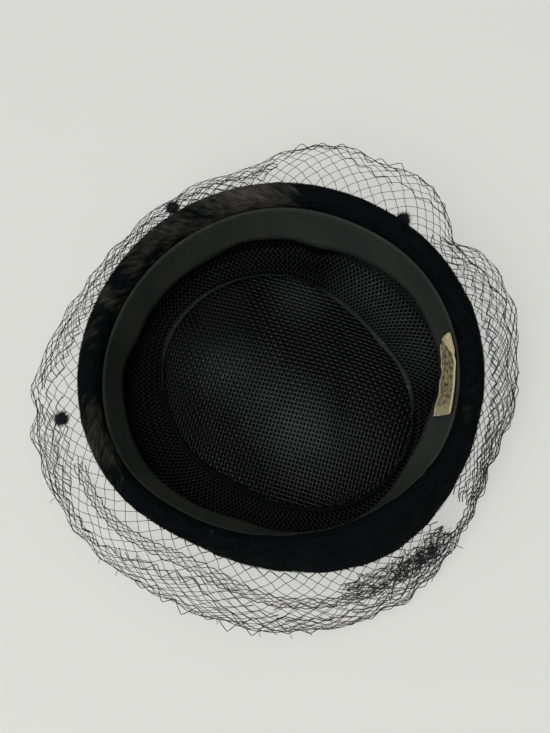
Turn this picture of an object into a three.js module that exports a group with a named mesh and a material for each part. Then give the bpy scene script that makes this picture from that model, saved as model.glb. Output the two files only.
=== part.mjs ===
// Velvet pillbox hat with a puffed net veil, lying upside down on its flat crown.
// Millimetres, +Z up. The origin is the centre of the crown's flat face, which the hat rests on.
// Azimuths are in degrees, counter-clockwise from +X as seen from above.
import * as THREE from "three";

// Velvet crown
const headRadius = 86.5; // mean radius of the head opening at the sweatband's top edge
const rollWidth = 12.5; // sweatband to the outside of the rolled edge
const rollHalfHeight = 6.4;
const hatHeight = 64; // resting face to the crest of the rolled edge
const clothWall = 2.6; // velvet over its stiff foundation
const turnInDepth = 16; // crest of the roll to the velvet's edge inside
const neckDepth = 3; // groove outside, beneath the rolled edge
const sideTuck = 1.5; // side wall at mid height, inside the rolled edge
const sideBulge = 8; // belly of the side wall at its fullest place
const footInset = 5; // side wall's foot, inside its middle
const cornerWidth = 19; // rounded corner from side to crown, seen from above
const cornerHeight = 17; // the same corner, seen from the side

// Grosgrain sweatband and its label
const bandWidth = 25;
const bandWall = 1;
const bandDrop = 9; // top edge below the crest of the roll
const bandLean = 7.3; // mean lean of the lower edge towards the head
const bandHang = 0.45; // share of the lean that half the drop has
const labelLength = 40;
const labelWidth = 18.5;
const labelWall = 0.8;
const labelAzimuth = -3.2;
const labelSetback = 2.2; // from the band's top edge

// Stiff net lining: a side strip and a round tip that meet in a seam
const liningWall = 1;
const liningSlack = 4; // between the lining and the velvet's inside
const seamInset = 8.5; // seam inside the edge of the flat crown
const seamHeight = 9; // seam above the resting face
const seamRidge = 2.4; // turned edge that stands along the seam
const tipDome = 8; // rise of the tip above the seam
const tipSetback = 1.5; // edge of the tip below the seam
const tipLopsided = 0.7; // share by which the dome is fuller on one side
const tipFullest = 315; // azimuth of that side
const liningBelly = 0.45; // height of the side lining's fullest place, as a share of the hat's

// Net veil, coarse here, and what is sewn to it
const veilPuff = 28; // mean distance that the veil stands out from the rolled edge
const veilTop = 43; // height of the line where it is tacked to the side
const veilWall = 1;
const veilStrand = 2.2; // width of a strand of the coarse net
const veilColumns = 30;
const veilRows = 4; // rows of gaps
const veilPhase = 5; // azimuth of the first knot on the tacked edge
const tackGap = 0.4; // between the tacked edge and the velvet
const hemHeight = 1.2; // lower edge above the surface the hat lies on
const hemTuck = 2; // mean place of the lower edge, inside the rolled edge
const veilShoulder = 0.9; // share of its height that the net keeps as it leaves the side
const dotDiameter = 7.8;
const dotHeight = 5.6;
const gatherLength = 46;
const gatherWidth = 12.5;
const gatherHeight = 22;
const gatherAzimuth = 303;
const gatherLift = 9; // lowest point of the bunch above the surface
const gatherCreases = 4; // round the bunch
const gatherCrease = 0.12; // depth of a crease, as a share of the bunch
const gatherTwist = 9; // turn of the creases from end to end, in radians
const gatherBlunt = 0.15; // power that squares its two ends

const seat = 0.3; // clearance between pieces that touch
const roundSteps = 60; // facets round the hat

// One row every 30 degrees. Each column is a share of the size it is named with.
//   head    of headRadius        roll  of rollWidth    belly  of sideBulge
//   lean    of bandLean          seam  of the seam's mean radius
//   puff    of veilPuff          hem   of veilPuff, outwards from the tucked hem
const outline = [
  { head: 1.04, roll: 0.98, belly: 0.1, lean: 1.3, seam: 1.01, puff: 0.64, hem: 0 }, // 0
  { head: 1.017, roll: 0.96, belly: 0, lean: 1, seam: 0.88, puff: 1, hem: 0 }, // 30
  { head: 0.987, roll: 1, belly: 0, lean: 1.15, seam: 0.9, puff: 1.36, hem: 0.1 }, // 60
  { head: 0.993, roll: 1, belly: 0, lean: 0.97, seam: 1.03, puff: 1.2, hem: 0.1 }, // 90
  { head: 0.987, roll: 1.1, belly: 0, lean: 0.77, seam: 1.11, puff: 0.93, hem: 0.1 }, // 120
  { head: 0.99, roll: 1.06, belly: 0, lean: 0.67, seam: 1.13, puff: 0.91, hem: 0.2 }, // 150
  { head: 1.004, roll: 1, belly: 0, lean: 0.66, seam: 1.02, puff: 1.27, hem: 0.65 }, // 180
  { head: 1.01, roll: 0.9, belly: -0.1, lean: 0.96, seam: 0.93, puff: 1.16, hem: 0.62 }, // 210
  { head: 0.961, roll: 0.95, belly: 0, lean: 1.04, seam: 0.86, puff: 1.03, hem: 0.24 }, // 240
  { head: 0.958, roll: 1, belly: 0.45, lean: 0.75, seam: 0.94, puff: 1.04, hem: 0.5 }, // 270
  { head: 0.992, roll: 1, belly: 1, lean: 0.74, seam: 1.07, puff: 0.91, hem: 0.55 }, // 300
  { head: 1.05, roll: 0.96, belly: 0.25, lean: 1.9, seam: 1.09, puff: 0.44, hem: 0.1 }, // 330
];

// Chenille dots. Each sits on a strand that runs from a knot of the tacked edge, counted from the
// first one, to the next row's knot on its left (-1) or right (1), at a share of the strand's length.
const dots = [
  { name: "veil_dot_1", column: 15, turn: 1, share: 0.68 },
  { name: "veil_dot_2", column: 10, turn: -1, share: 0.7 },
  { name: "veil_dot_3", column: 4, turn: -1, share: 0.28 },
];

const radians = THREE.MathUtils.degToRad;

// A column of the outline at any azimuth, on a smooth closed curve through the rows.
function share(column, azimuth) {
  const rows = outline.length;
  const at = (THREE.MathUtils.euclideanModulo(azimuth, 360) / 360) * rows;
  const row = Math.floor(at);
  const t = at - row;
  const [a, b, c, d] = [-1, 0, 1, 2].map((k) => outline[(row + k + rows) % rows][column]);
  return b + 0.5 * t * (c - a + t * (2 * a - 5 * b + 4 * c - d + t * (3 * (b - c) + d - a)));
}

// Radii of the hat at an azimuth, from the opening outwards.
const headAt = (az) => headRadius * share("head", az);
const rollInnerAt = (az) => headAt(az) + bandWall + seat;
const rimAt = (az) => headAt(az) + rollWidth * share("roll", az);
const sideAt = (az) => rimAt(az) - sideTuck + sideBulge * share("belly", az);
const footAt = (az) => sideAt(az) - footInset;
const flatAt = (az) => footAt(az) - cornerWidth;
const seamMean = headRadius + rollWidth - sideTuck - footInset - cornerWidth - seamInset;
const seamAt = (az) => seamMean * share("seam", az);

// Heights and outer radii of the side wall, from its foot to the groove under the rolled edge.
const neckHeight = hatHeight - 2 * rollHalfHeight;
const sideHeights = [cornerHeight, (cornerHeight + neckHeight) / 2, neckHeight];
const sideRadii = (az) => [footAt(az), sideAt(az), rimAt(az) - neckDepth];

// Outer radius of the side wall at any of its heights.
function wallAt(az, height) {
  const radii = sideRadii(az);
  const k = height > sideHeights[1] ? 1 : 0;
  const t = (height - sideHeights[k]) / (sideHeights[k + 1] - sideHeights[k]);
  return THREE.MathUtils.lerp(radii[k], radii[k + 1], THREE.MathUtils.clamp(t, 0, 1));
}

// Points of an elliptic arc in the section plane, as [radius, height].
function arc(centre, width, height, from, to, steps) {
  return Array.from({ length: steps + 1 }, (_, i) => {
    const angle = radians(THREE.MathUtils.lerp(from, to, i / steps));
    return [centre[0] + width * Math.cos(angle), centre[1] + height * Math.sin(angle)];
  });
}

// Evenly spaced points of a smooth curve through a few points of the section plane.
function smooth(points, steps) {
  const curve = new THREE.SplineCurve(points.map(([r, z]) => new THREE.Vector2(r, z)));
  return curve.getPoints(steps).map((p) => [p.x, p.y]);
}

// A wall of even thickness round a path of the section plane, as one closed loop.
function walled(path, wall) {
  const sides = [wall / 2, -wall / 2].map((reach) =>
    path.map(([r, z], i) => {
      const [r0, z0] = path[Math.max(i - 1, 0)];
      const [r1, z1] = path[Math.min(i + 1, path.length - 1)];
      const length = Math.hypot(r1 - r0, z1 - z0);
      return [r + (reach * (z1 - z0)) / length, z - (reach * (r1 - r0)) / length];
    }),
  );
  return [...sides[0], ...sides[1].reverse()];
}

function meshed(name, positions, faces, material) {
  const geometry = new THREE.BufferGeometry();
  geometry.setAttribute("position", new THREE.Float32BufferAttribute(positions, 3));
  geometry.setIndex(faces);
  geometry.computeVertexNormals();
  const mesh = new THREE.Mesh(geometry, material);
  mesh.name = name;
  return mesh;
}

// A solid that runs round the hat. Its section turns counter-clockwise in the section plane,
// and is a closed loop, or starts and ends on the axis.
function turned(name, sectionAt, material) {
  const positions = [];
  const faces = [];
  let onAxis = false;
  let count = 0;
  for (let i = 0; i < roundSteps; i++) {
    const azimuth = (360 * i) / roundSteps;
    const section = sectionAt(azimuth);
    count = section.length;
    onAxis = section[0][0] === 0;
    for (const [r, z] of section)
      positions.push(r * Math.cos(radians(azimuth)), r * Math.sin(radians(azimuth)), z);
  }
  for (let i = 0; i < roundSteps; i++) {
    const next = (i + 1) % roundSteps;
    for (let k = 0; k < (onAxis ? count - 1 : count); k++) {
      const up = (k + 1) % count;
      const [a, b, c, d] = [i * count + k, next * count + k, next * count + up, i * count + up];
      if (!(onAxis && k === 0)) faces.push(a, b, c);
      if (!(onAxis && up === count - 1)) faces.push(a, c, d);
    }
  }
  if (onAxis) return meshed(name, ...closedPoles(positions, faces, count), material);
  return meshed(name, positions, faces, material);
}

// Gives every section of a solid that meets the axis the same two pole points.
function closedPoles(positions, faces, count) {
  const first = (index) => {
    const k = index % count;
    return k === 0 || k === count - 1 ? k : index;
  };
  return [positions, faces.map(first)];
}

// Velvet crown: flat tip, rounded corner, side, and an edge rolled inwards over a hollow.
function crownSection(az) {
  const rollCentre = [(rollInnerAt(az) + rimAt(az)) / 2, hatHeight - rollHalfHeight];
  const rollHalfWidth = (rimAt(az) - rollInnerAt(az)) / 2;
  const turnIn = hatHeight - turnInDepth;
  const [, side, neck] = sideRadii(az);
  const [, sideHeight] = sideHeights;
  const outer = [
    [0, 0],
    ...arc([flatAt(az), cornerHeight], cornerWidth, cornerHeight, -90, 0, 4),
    [side, sideHeight],
    [neck, neckHeight],
    ...arc(rollCentre, rollHalfWidth, rollHalfHeight, -30, 180, 7),
    [rollInnerAt(az), turnIn],
  ];
  const inner = [
    [rollInnerAt(az) + clothWall, turnIn],
    ...arc(rollCentre, rollHalfWidth - clothWall, rollHalfHeight - clothWall, 180, -30, 5),
    [neck - clothWall, neckHeight],
    [side - clothWall, sideHeight],
    ...arc([flatAt(az), cornerHeight], cornerWidth - clothWall, cornerHeight - clothWall, 0, -90, 3),
    [0, clothWall],
  ];
  return [...outer, ...inner];
}

// Sweatband: a leaning strip inside the turned-in velvet, from its lower edge up.
function bandPath(az) {
  const lean = bandLean * share("lean", az);
  const drop = Math.sqrt(bandWidth ** 2 - lean ** 2);
  const top = [headAt(az) + bandWall / 2, hatHeight - bandDrop];
  return [
    [top[0] - lean, top[1] - drop],
    [top[0] - bandHang * lean, top[1] - 0.5 * drop],
    top,
  ];
}

// Side lining: from under the turned-in velvet, down behind the sweatband and in to the seam.
function sideLiningPath(az) {
  const belly = sideAt(az) - clothWall - liningSlack;
  return smooth(
    [
      [seamAt(az) + seat, seamHeight],
      [flatAt(az) + 0.25 * cornerWidth, seamHeight + 1],
      [flatAt(az) + 0.6 * cornerWidth, seamHeight + 5],
      [belly, hatHeight * liningBelly],
      [rollInnerAt(az) + clothWall / 2, hatHeight - turnInDepth - seat],
    ],
    6,
  );
}

// Tip lining: a soft dome, a channel round it, and the turned edge along the seam.
function tipLiningSection(az) {
  const seam = seamAt(az) - liningWall / 2;
  const fullest = tipLopsided * Math.cos(radians(az - tipFullest));
  const edge = seamHeight - tipSetback;
  const heightAt = (s) => edge + tipDome * (1 - s * s) * (1 + s * fullest);
  const path = [0, 0.2, 0.4, 0.6, 0.78, 0.92].map((s) => [seam * s, heightAt(s)]);
  path.push([seam - liningWall, edge], [seam, seamHeight + seamRidge]);
  const loop = walled(path, liningWall);
  loop[0] = [0, heightAt(0) - liningWall / 2];
  loop[loop.length - 1] = [0, heightAt(0) + liningWall / 2];
  return loop;
}

// The veil's surface: tacked to the side, out and down, and back in to the hem. v runs from 0 to 1.
function veilPoint(az, v) {
  const tack = wallAt(az, veilTop) + tackGap;
  const reach = rimAt(az) + veilPuff * share("puff", az);
  const hem = rimAt(az) - hemTuck + veilPuff * share("hem", az);
  const outside = (reach - (tack + hem) / 8) / 0.75; // so that the curve's middle lies at the reach
  const [b0, b1, b2, b3] = [(1 - v) ** 3, 3 * v * (1 - v) ** 2, 3 * v * v * (1 - v), v ** 3];
  const r = b0 * tack + (b1 + b2) * outside + b3 * hem;
  const z = (b0 + veilShoulder * b1) * veilTop + (b2 + b3) * hemHeight;
  return new THREE.Vector3(r * Math.cos(radians(az)), r * Math.sin(radians(az)), z);
}

function veilNormal(az, v) {
  const round = veilPoint(az + 1, v).sub(veilPoint(az - 1, v));
  const along = veilPoint(az, v + 0.02).sub(veilPoint(az, v - 0.02));
  return along.cross(round).normalize();
}

// Azimuth and share of the veil's section at a knot. Rows run from the tacked edge to the hem.
function knotAt(row, column) {
  return { az: veilPhase + (360 * (column + (row % 2) / 2)) / veilColumns, v: row / (veilRows + 1) };
}

// Coarse diamond net: each gap is a diamond with a smaller diamond cut through it.
function veil(material) {
  const positions = [];
  const faces = [];
  const add = (point) => positions.push(point.x, point.y, point.z) / 3 - 1;
  const pair = (point, normal) => [
    add(point.clone().addScaledVector(normal, veilWall / 2)),
    add(point.clone().addScaledVector(normal, -veilWall / 2)),
  ];
  const quad = (a, b, c, d) => faces.push(a, b, c, a, c, d);
  const knots = Array.from({ length: veilRows + 2 }, (_, row) =>
    Array.from({ length: veilColumns }, (_, column) => {
      const { az, v } = knotAt(row, column);
      return { point: veilPoint(az, v), skins: pair(veilPoint(az, v), veilNormal(az, v)), az, v };
    }),
  );
  const knot = (row, column) => knots[row][(column + veilColumns) % veilColumns];
  for (let row = 0; row < veilRows; row++) {
    for (let column = 0; column < veilColumns; column++) {
      const left = column - 1 + (row % 2);
      const corners = [
        knot(row, column),
        knot(row + 1, left),
        knot(row + 2, column),
        knot(row + 1, left + 1),
      ];
      const middle = new THREE.Vector3();
      corners.forEach(({ point }) => middle.addScaledVector(point, 1 / 4));
      const across = corners[1].point.distanceTo(corners[3].point);
      const down = corners[0].point.distanceTo(corners[2].point);
      const inradius = (across * down) / (2 * Math.hypot(across, down));
      const normal = veilNormal(corners[0].az, (corners[0].v + corners[2].v) / 2);
      const hole = corners.map(({ point }) =>
        pair(point.clone().lerp(middle, veilStrand / 2 / inradius), normal),
      );
      corners.forEach(({ skins: [outA, inA] }, k) => {
        const [outB, inB] = corners[(k + 1) % 4].skins;
        const [holeOutA, holeInA] = hole[k];
        const [holeOutB, holeInB] = hole[(k + 1) % 4];
        quad(outA, outB, holeOutB, holeOutA);
        quad(inA, holeInA, holeInB, inB);
        quad(holeOutA, holeOutB, holeInB, holeInA);
        const onTop = row === 0 && (k === 0 || k === 3);
        const onHem = row === veilRows - 1 && (k === 1 || k === 2);
        if (onTop || onHem) quad(outA, inA, inB, outB);
      });
    }
  }
  return meshed("veil", positions, faces, material);
}

// Label: a short ribbon that lies along the sweatband's inner face.
function label(material) {
  const columns = 12;
  const span = THREE.MathUtils.radToDeg(labelLength / headRadius);
  const positions = [];
  const faces = [];
  for (let i = 0; i <= columns; i++) {
    const az = labelAzimuth + span * (i / columns - 0.5);
    const [low, , top] = bandPath(az);
    const down = new THREE.Vector2(low[0] - top[0], low[1] - top[1]).normalize();
    const inwards = new THREE.Vector2(down.y, -down.x);
    for (const [drop, lift] of [
      [labelSetback, 0],
      [labelSetback + labelWidth, 0],
      [labelSetback + labelWidth, labelWall],
      [labelSetback, labelWall],
    ]) {
      const off = bandWall / 2 + 3 * seat + lift;
      const r = top[0] + down.x * drop + inwards.x * off;
      const z = top[1] + down.y * drop + inwards.y * off;
      positions.push(r * Math.cos(radians(az)), r * Math.sin(radians(az)), z);
    }
  }
  for (let i = 0; i < columns; i++)
    for (let k = 0; k < 4; k++) {
      const [a, b] = [4 * i + k, 4 * i + ((k + 1) % 4)];
      faces.push(a, b, b + 4, a, b + 4, a + 4);
    }
  const last = 4 * columns;
  faces.push(0, 3, 2, 0, 2, 1, last, last + 1, last + 2, last, last + 2, last + 3);
  return meshed("label", positions, faces, material);
}

// Chenille dot: a flattened ball that sits on a strand of the veil's upper face.
function dot({ name, column, turn, share: down }, material) {
  const mesh = new THREE.Mesh(new THREE.SphereGeometry(dotDiameter / 2, 12, 8), material);
  const [from, to] = [knotAt(0, column), knotAt(1, column + (turn - 1) / 2)];
  const strand = veilPoint(from.az, from.v).lerp(veilPoint(to.az, to.v), down);
  const normal = veilNormal(
    THREE.MathUtils.lerp(from.az, to.az, down),
    THREE.MathUtils.lerp(from.v, to.v, 0.5),
  );
  mesh.name = name;
  mesh.scale.set(1, dotHeight / dotDiameter, 1);
  mesh.quaternion.setFromUnitVectors(new THREE.Vector3(0, 1, 0), normal);
  mesh.position
    .copy(strand)
    .addScaledVector(normal, dotHeight / 2 + veilWall / 2 + seat);
  return mesh;
}

// Gathered net ends: a creased bunch, bent round the side wall that it is sewn to.
function gather(material) {
  const geometry = new THREE.SphereGeometry(0.5, 16, 10);
  const position = geometry.getAttribute("position");
  const degreesPerMm = THREE.MathUtils.radToDeg(1 / (headRadius + rollWidth));
  for (let i = 0; i < position.count; i++) {
    const [x, y, z] = [position.getX(i), position.getY(i), position.getZ(i)];
    const fullness = Math.max(1 - 4 * x * x, 1e-6) ** -gatherBlunt;
    const turn = gatherCreases * Math.atan2(z, y) + gatherTwist * x;
    const crease = fullness * (1 - gatherCrease * (1 - Math.cos(turn)));
    const az = gatherAzimuth - x * gatherLength * degreesPerMm; // keeps the faces outwards
    const height = gatherLift + gatherHeight * (0.5 + z * crease);
    const r = wallAt(az, height) + seat + gatherWidth * (0.5 + y * crease);
    position.setXYZ(i, r * Math.cos(radians(az)), r * Math.sin(radians(az)), height);
  }
  const mesh = new THREE.Mesh(geometry, material);
  mesh.name = "veil_gather";
  return mesh;
}

const cloth = (color, roughness) =>
  new THREE.MeshStandardMaterial({ color, roughness, metalness: 0, side: THREE.DoubleSide });

const hat = new THREE.Group();
hat.add(turned("crown_shell", crownSection, cloth(0x141414, 0.95)));
hat.add(turned("sweatband", (az) => walled(bandPath(az), bandWall), cloth(0x1b1d1c, 0.8)));
hat.add(turned("lining_side", (az) => walled(sideLiningPath(az), liningWall), cloth(0x2c2c2e, 0.5)));
hat.add(turned("lining_tip", tipLiningSection, cloth(0x323234, 0.5)));
hat.add(label(cloth(0xb29a78, 0.8)));

const veiling = new THREE.Group();
veiling.add(veil(cloth(0x2a2830, 0.7)));
veiling.add(gather(cloth(0x221c26, 0.8)));
for (const row of dots) veiling.add(dot(row, cloth(0x1c161c, 1)));
hat.add(veiling);

export default hat;
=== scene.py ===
# %% [markdown]
# # A pillbox hat, lying on its crown
# The hat lies upside down, as a milliner puts it down on a table, so we look into it.
# Outside and over the rolled rim it is black plush velvet, brushed in patches. Inside stands a ribbed
# ribbon, the sweatband, and below it the crown is lined with a stiff open weave. A net veil puffs
# out round it, with three chenille dots and one gathered bunch. A woven label is sewn to the band.
# The CAD model already holds every size, so each step here only dresses one of its pieces.

# %% The frame
import math

import bmesh
import bpy
import numpy as np
from mathutils import Matrix, Vector


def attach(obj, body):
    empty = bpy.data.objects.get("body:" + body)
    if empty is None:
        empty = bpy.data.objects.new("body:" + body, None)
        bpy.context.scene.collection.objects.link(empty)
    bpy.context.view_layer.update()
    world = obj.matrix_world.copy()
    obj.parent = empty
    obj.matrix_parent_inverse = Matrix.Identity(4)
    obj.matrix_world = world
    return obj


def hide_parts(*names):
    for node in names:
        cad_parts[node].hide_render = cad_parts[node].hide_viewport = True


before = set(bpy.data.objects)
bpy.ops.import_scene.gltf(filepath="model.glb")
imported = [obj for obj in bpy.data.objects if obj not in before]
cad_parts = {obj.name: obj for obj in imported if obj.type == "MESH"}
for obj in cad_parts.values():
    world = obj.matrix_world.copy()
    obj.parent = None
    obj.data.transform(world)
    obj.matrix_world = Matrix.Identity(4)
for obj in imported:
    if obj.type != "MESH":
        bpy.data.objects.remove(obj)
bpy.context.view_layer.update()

# %% [markdown]
# ## The camera
# The photograph looks down into the hat from a little in front of it. The place of a camera can be
# found from the picture alone, because the rim and the lower edge of the band are rings at two
# heights, and their outlines shift against each other. The lens is given in pixels of the picture.

# %% Camera
PHOTO_SIZE = (550, 733)
FOCAL_PIXELS = 1300
SENSOR_MM = 36
CAMERA_AIM = Vector((-0.0006, 0.0026, 0.050))
CAMERA_TILT = math.radians(18.5)
CAMERA_TURN = math.radians(293.5)
CAMERA_DISTANCE = 0.65


def make_camera():
    """Stands the camera on its sight line, level with the picture's sides."""
    data = bpy.data.cameras.new("camera")
    data.sensor_width = SENSOR_MM
    data.lens = SENSOR_MM * FOCAL_PIXELS / max(PHOTO_SIZE)
    camera = bpy.data.objects.new("camera", data)
    flat = math.sin(CAMERA_TILT)
    back = Vector((flat * math.cos(CAMERA_TURN), flat * math.sin(CAMERA_TURN), math.cos(CAMERA_TILT)))
    right = Vector((0, 1, 0)).cross(back).normalized()
    up = back.cross(right)
    turned = Matrix((right, up, back)).transposed().to_4x4()
    camera.matrix_world = Matrix.Translation(CAMERA_AIM + back * CAMERA_DISTANCE) @ turned
    bpy.context.collection.objects.link(camera)
    bpy.context.scene.camera = camera
    return camera


camera = make_camera()
print("Lens in millimetres:", round(camera.data.lens, 2))

# %% [markdown]
# ## The hat's own round
# The hat isn't a true circle: it is worn and a little bent. One short table says how each ring
# departs from its mean, every 30 degrees, and a smooth closed curve reads it in between.
# The same table shaped the CAD solids, so every piece made here meets them.

# %% Sizes and the round
COLUMNS = ("head", "roll", "belly", "lean", "seam", "puff", "hem")
OUTLINE = {
    0: (1.04, 0.98, 0.1, 1.3, 1.01, 0.64, 0),
    30: (1.017, 0.96, 0, 1, 0.88, 1, 0),
    60: (0.987, 1, 0, 1.15, 0.9, 1.36, 0.1),
    90: (0.993, 1, 0, 0.97, 1.03, 1.2, 0.1),
    120: (0.987, 1.1, 0, 0.77, 1.11, 0.93, 0.1),
    150: (0.99, 1.06, 0, 0.67, 1.13, 0.91, 0.2),
    180: (1.004, 1, 0, 0.66, 1.02, 1.27, 0.65),
    210: (1.01, 0.9, -0.1, 0.96, 0.93, 1.16, 0.62),
    240: (0.961, 0.95, 0, 1.04, 0.86, 1.03, 0.24),
    270: (0.958, 1, 0.45, 0.75, 0.94, 1.04, 0.5),
    300: (0.992, 1, 1, 0.74, 1.07, 0.91, 0.55),
    330: (1.05, 0.96, 0.25, 1.9, 1.09, 0.44, 0.1),
}
ROW_DEGREES = 30

HAT_HEIGHT = 0.064
HEAD_RADIUS = 0.0865
ROLL_WIDTH = 0.0125
ROLL_HALF_HEIGHT = 0.0064
CLOTH_WALL = 0.0026
TURN_IN_DEPTH = 0.016
NECK_DEPTH = 0.003
SIDE_TUCK = 0.0015
SIDE_BULGE = 0.008
FOOT_INSET = 0.005
CORNER_WIDTH = 0.019
CORNER_HEIGHT = 0.017
SEAT = 0.0003

BAND_WIDTH = 0.025
BAND_WALL = 0.001
BAND_DROP = 0.009
BAND_LEAN = 0.0073

SEAM_INSET = 0.0085
SEAM_HEIGHT = 0.009
TIP_DOME = 0.008

ROLL_MIDDLE = HAT_HEIGHT - ROLL_HALF_HEIGHT
NECK_HEIGHT = HAT_HEIGHT - 2 * ROLL_HALF_HEIGHT
SIDE_HEIGHTS = (CORNER_HEIGHT, (CORNER_HEIGHT + NECK_HEIGHT) / 2, NECK_HEIGHT)
SEAM_MEAN = HEAD_RADIUS + ROLL_WIDTH - SIDE_TUCK - FOOT_INSET - CORNER_WIDTH - SEAM_INSET


def between(a, b, c, d, t):
    """A smooth curve through four values in a row, at a part t of the way from b to c."""
    return b + t * (c - a + t * (2 * a - 5 * b + 4 * c - d + t * (3 * (b - c) + d - a))) / 2


def around(column, azimuth):
    """Reads one column of the table at any azimuth in degrees, on a smooth closed curve."""
    values = np.array([row[COLUMNS.index(column)] for row in OUTLINE.values()])
    step = np.asarray(azimuth, float) / ROW_DEGREES
    row = np.floor(step).astype(int)
    nearest = (values[(row + shift) % len(values)] for shift in (-1, 0, 1, 2))
    return between(*nearest, step - row)


def head_at(azimuth):
    return HEAD_RADIUS * around("head", azimuth)


def roll_inner_at(azimuth):
    return head_at(azimuth) + BAND_WALL + SEAT


def rim_at(azimuth):
    return head_at(azimuth) + ROLL_WIDTH * around("roll", azimuth)


def side_at(azimuth):
    return rim_at(azimuth) - SIDE_TUCK + SIDE_BULGE * around("belly", azimuth)


def foot_at(azimuth):
    return side_at(azimuth) - FOOT_INSET


def seam_at(azimuth):
    return SEAM_MEAN * around("seam", azimuth)


def wall_at(azimuth, height):
    """The outer wall's radius at a height, between the round foot and the neck under the roll."""
    radii = (foot_at(azimuth), side_at(azimuth), rim_at(azimuth) - NECK_DEPTH)
    lower, middle, upper = SIDE_HEIGHTS
    below = radii[0] + (radii[1] - radii[0]) * (height - lower) / (middle - lower)
    above = radii[1] + (radii[2] - radii[1]) * (height - middle) / (upper - middle)
    return np.where(np.asarray(height) < middle, below, above)


def at(azimuth, radius, height):
    """Points from azimuths in degrees, radii and heights; arrays of any shape that fit together."""
    turn = np.radians(azimuth)
    parts = np.broadcast_arrays(radius * np.cos(turn), radius * np.sin(turn), height)
    return np.stack(parts, axis=-1).astype(float)


def swell(azimuth, centre, width):
    """A soft bump of height one round an azimuth, with its half width in degrees."""
    gap = (np.asarray(azimuth, float) - centre + 180) % 360 - 180
    return np.exp(-((gap / width) ** 2))


def ripple(azimuth, lobes, seed):
    """A closed wandering curve between about -1 and 1, with up to that many lobes to the round."""
    draw = np.random.default_rng(seed)
    turns = np.arange(max(2, lobes // 3), lobes + 1)
    sizes = draw.uniform(0.4, 1, len(turns))
    starts = draw.uniform(0, 2 * np.pi, len(turns))
    turn = np.radians(np.asarray(azimuth, float))[..., None]
    waves = (sizes * np.cos(turns * turn + starts)).sum(axis=-1)
    return waves / np.sqrt((sizes**2).sum())


def smooth_path(points, steps):
    """The same curve through points that are arrays of one shape, in equal steps from each to the next."""
    ends = [2 * points[0] - points[1], *points, 2 * points[-1] - points[-2]]
    out = []
    for i in range(len(points) - 1):
        for t in np.arange(steps) / steps:
            out.append(between(*ends[i : i + 4], t))
    return np.stack([*out, points[-1]], axis=-2)


print("Rim at 0, 90, 180 and 270 degrees, in metres:", np.round(rim_at((0, 90, 180, 270)), 4))

# %% [markdown]
# ## A bench for nodes
# Materials and Geometry Nodes are both node trees. A tree is easier to read as arithmetic, so a Wire
# wraps one socket, and a sum or product of Wires adds its Math nodes. Every other node comes from
# one method, which sets what the node is before it fills its sockets.

# %% Wires and benches


class Wire:
    """A socket in a tree. Arithmetic on it adds Math nodes."""

    def __init__(self, bench, socket):
        self.bench = bench
        self.socket = socket

    def beside(self, title):
        """Another output of the node that this wire comes from."""
        return Wire(self.bench, self.socket.node.outputs[title])

    def __add__(self, other):
        return self.bench.maths("ADD", self, other)

    def __sub__(self, other):
        return self.bench.maths("SUBTRACT", self, other)

    def __rsub__(self, other):
        return self.bench.maths("SUBTRACT", other, self)

    def __mul__(self, other):
        return self.bench.maths("MULTIPLY", self, other)

    def __truediv__(self, other):
        return self.bench.maths("DIVIDE", self, other)

    __radd__ = __add__
    __rmul__ = __mul__


class Bench:
    """A node tree, and the one way to add any node to it."""

    def __init__(self, tree):
        self.tree = tree

    def node(self, kind, settings=None, inputs=None, output=0):
        made = self.tree.nodes.new(kind)
        for title, value in (settings or {}).items():
            setattr(made, title, value)
        for title, value in (inputs or {}).items():
            parts = value if isinstance(value, list) else [value]
            wires = [part for part in parts if isinstance(part, Wire)]
            for wire in wires:
                self.tree.links.new(wire.socket, made.inputs[title])
            if not wires:
                made.inputs[title].default_value = value
        return Wire(self, made.outputs[output]) if made.outputs else made

    def maths(self, operation, *values):
        return self.node("ShaderNodeMath", {"operation": operation}, dict(enumerate(values)))

    def vectors(self, operation, *values, output=0):
        return self.node("ShaderNodeVectorMath", {"operation": operation}, dict(enumerate(values)), output)

    def scaled(self, vector, factor):
        made = self.vectors("SCALE", vector)
        self.tree.links.new(factor.socket, made.socket.node.inputs["Scale"])
        return made

    def clamped(self, value):
        return self.node("ShaderNodeClamp", None, {"Value": value})

    def colours(self, share, first, second):
        return self.node("ShaderNodeMix", {"data_type": "RGBA"}, {0: share, 6: first, 7: second}, 2)

    def noise(self, place, scale, detail):
        return self.node("ShaderNodeTexNoise", None, {"Vector": place, "Scale": scale, "Detail": detail})

    def carried(self, title, kind="FLOAT"):
        """What a mesh carries at its points under a title."""
        return self.node("GeometryNodeInputNamedAttribute", {"data_type": kind}, {"Name": title})

    def stretched(self, place, scale):
        return self.node("ShaderNodeMapping", None, {"Vector": place, "Scale": scale})


def start_finish(name):
    """An empty material, its bench, and the Object coordinates that its patterns read."""
    material = bpy.data.materials.new(name)
    material.use_nodes = True
    bench = Bench(material.node_tree)
    bench.tree.nodes.clear()
    place = bench.node("ShaderNodeTexCoord", output="Object")
    return material, bench, place


def end_finish(bench, colour, roughness, height=None, depth=0.0002, fixed=None):
    """Ends a material: what varies is linked, and fixed values are set on the shader's own sockets."""
    inputs = {"Base Color": colour, "Roughness": roughness, **(fixed or {})}
    if height is not None:
        inputs["Normal"] = bench.node("ShaderNodeBump", None, {"Distance": depth, "Height": height})
    shader = bench.node("ShaderNodeBsdfPrincipled", None, inputs)
    bench.node("ShaderNodeOutputMaterial", None, {"Surface": shader})


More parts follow.
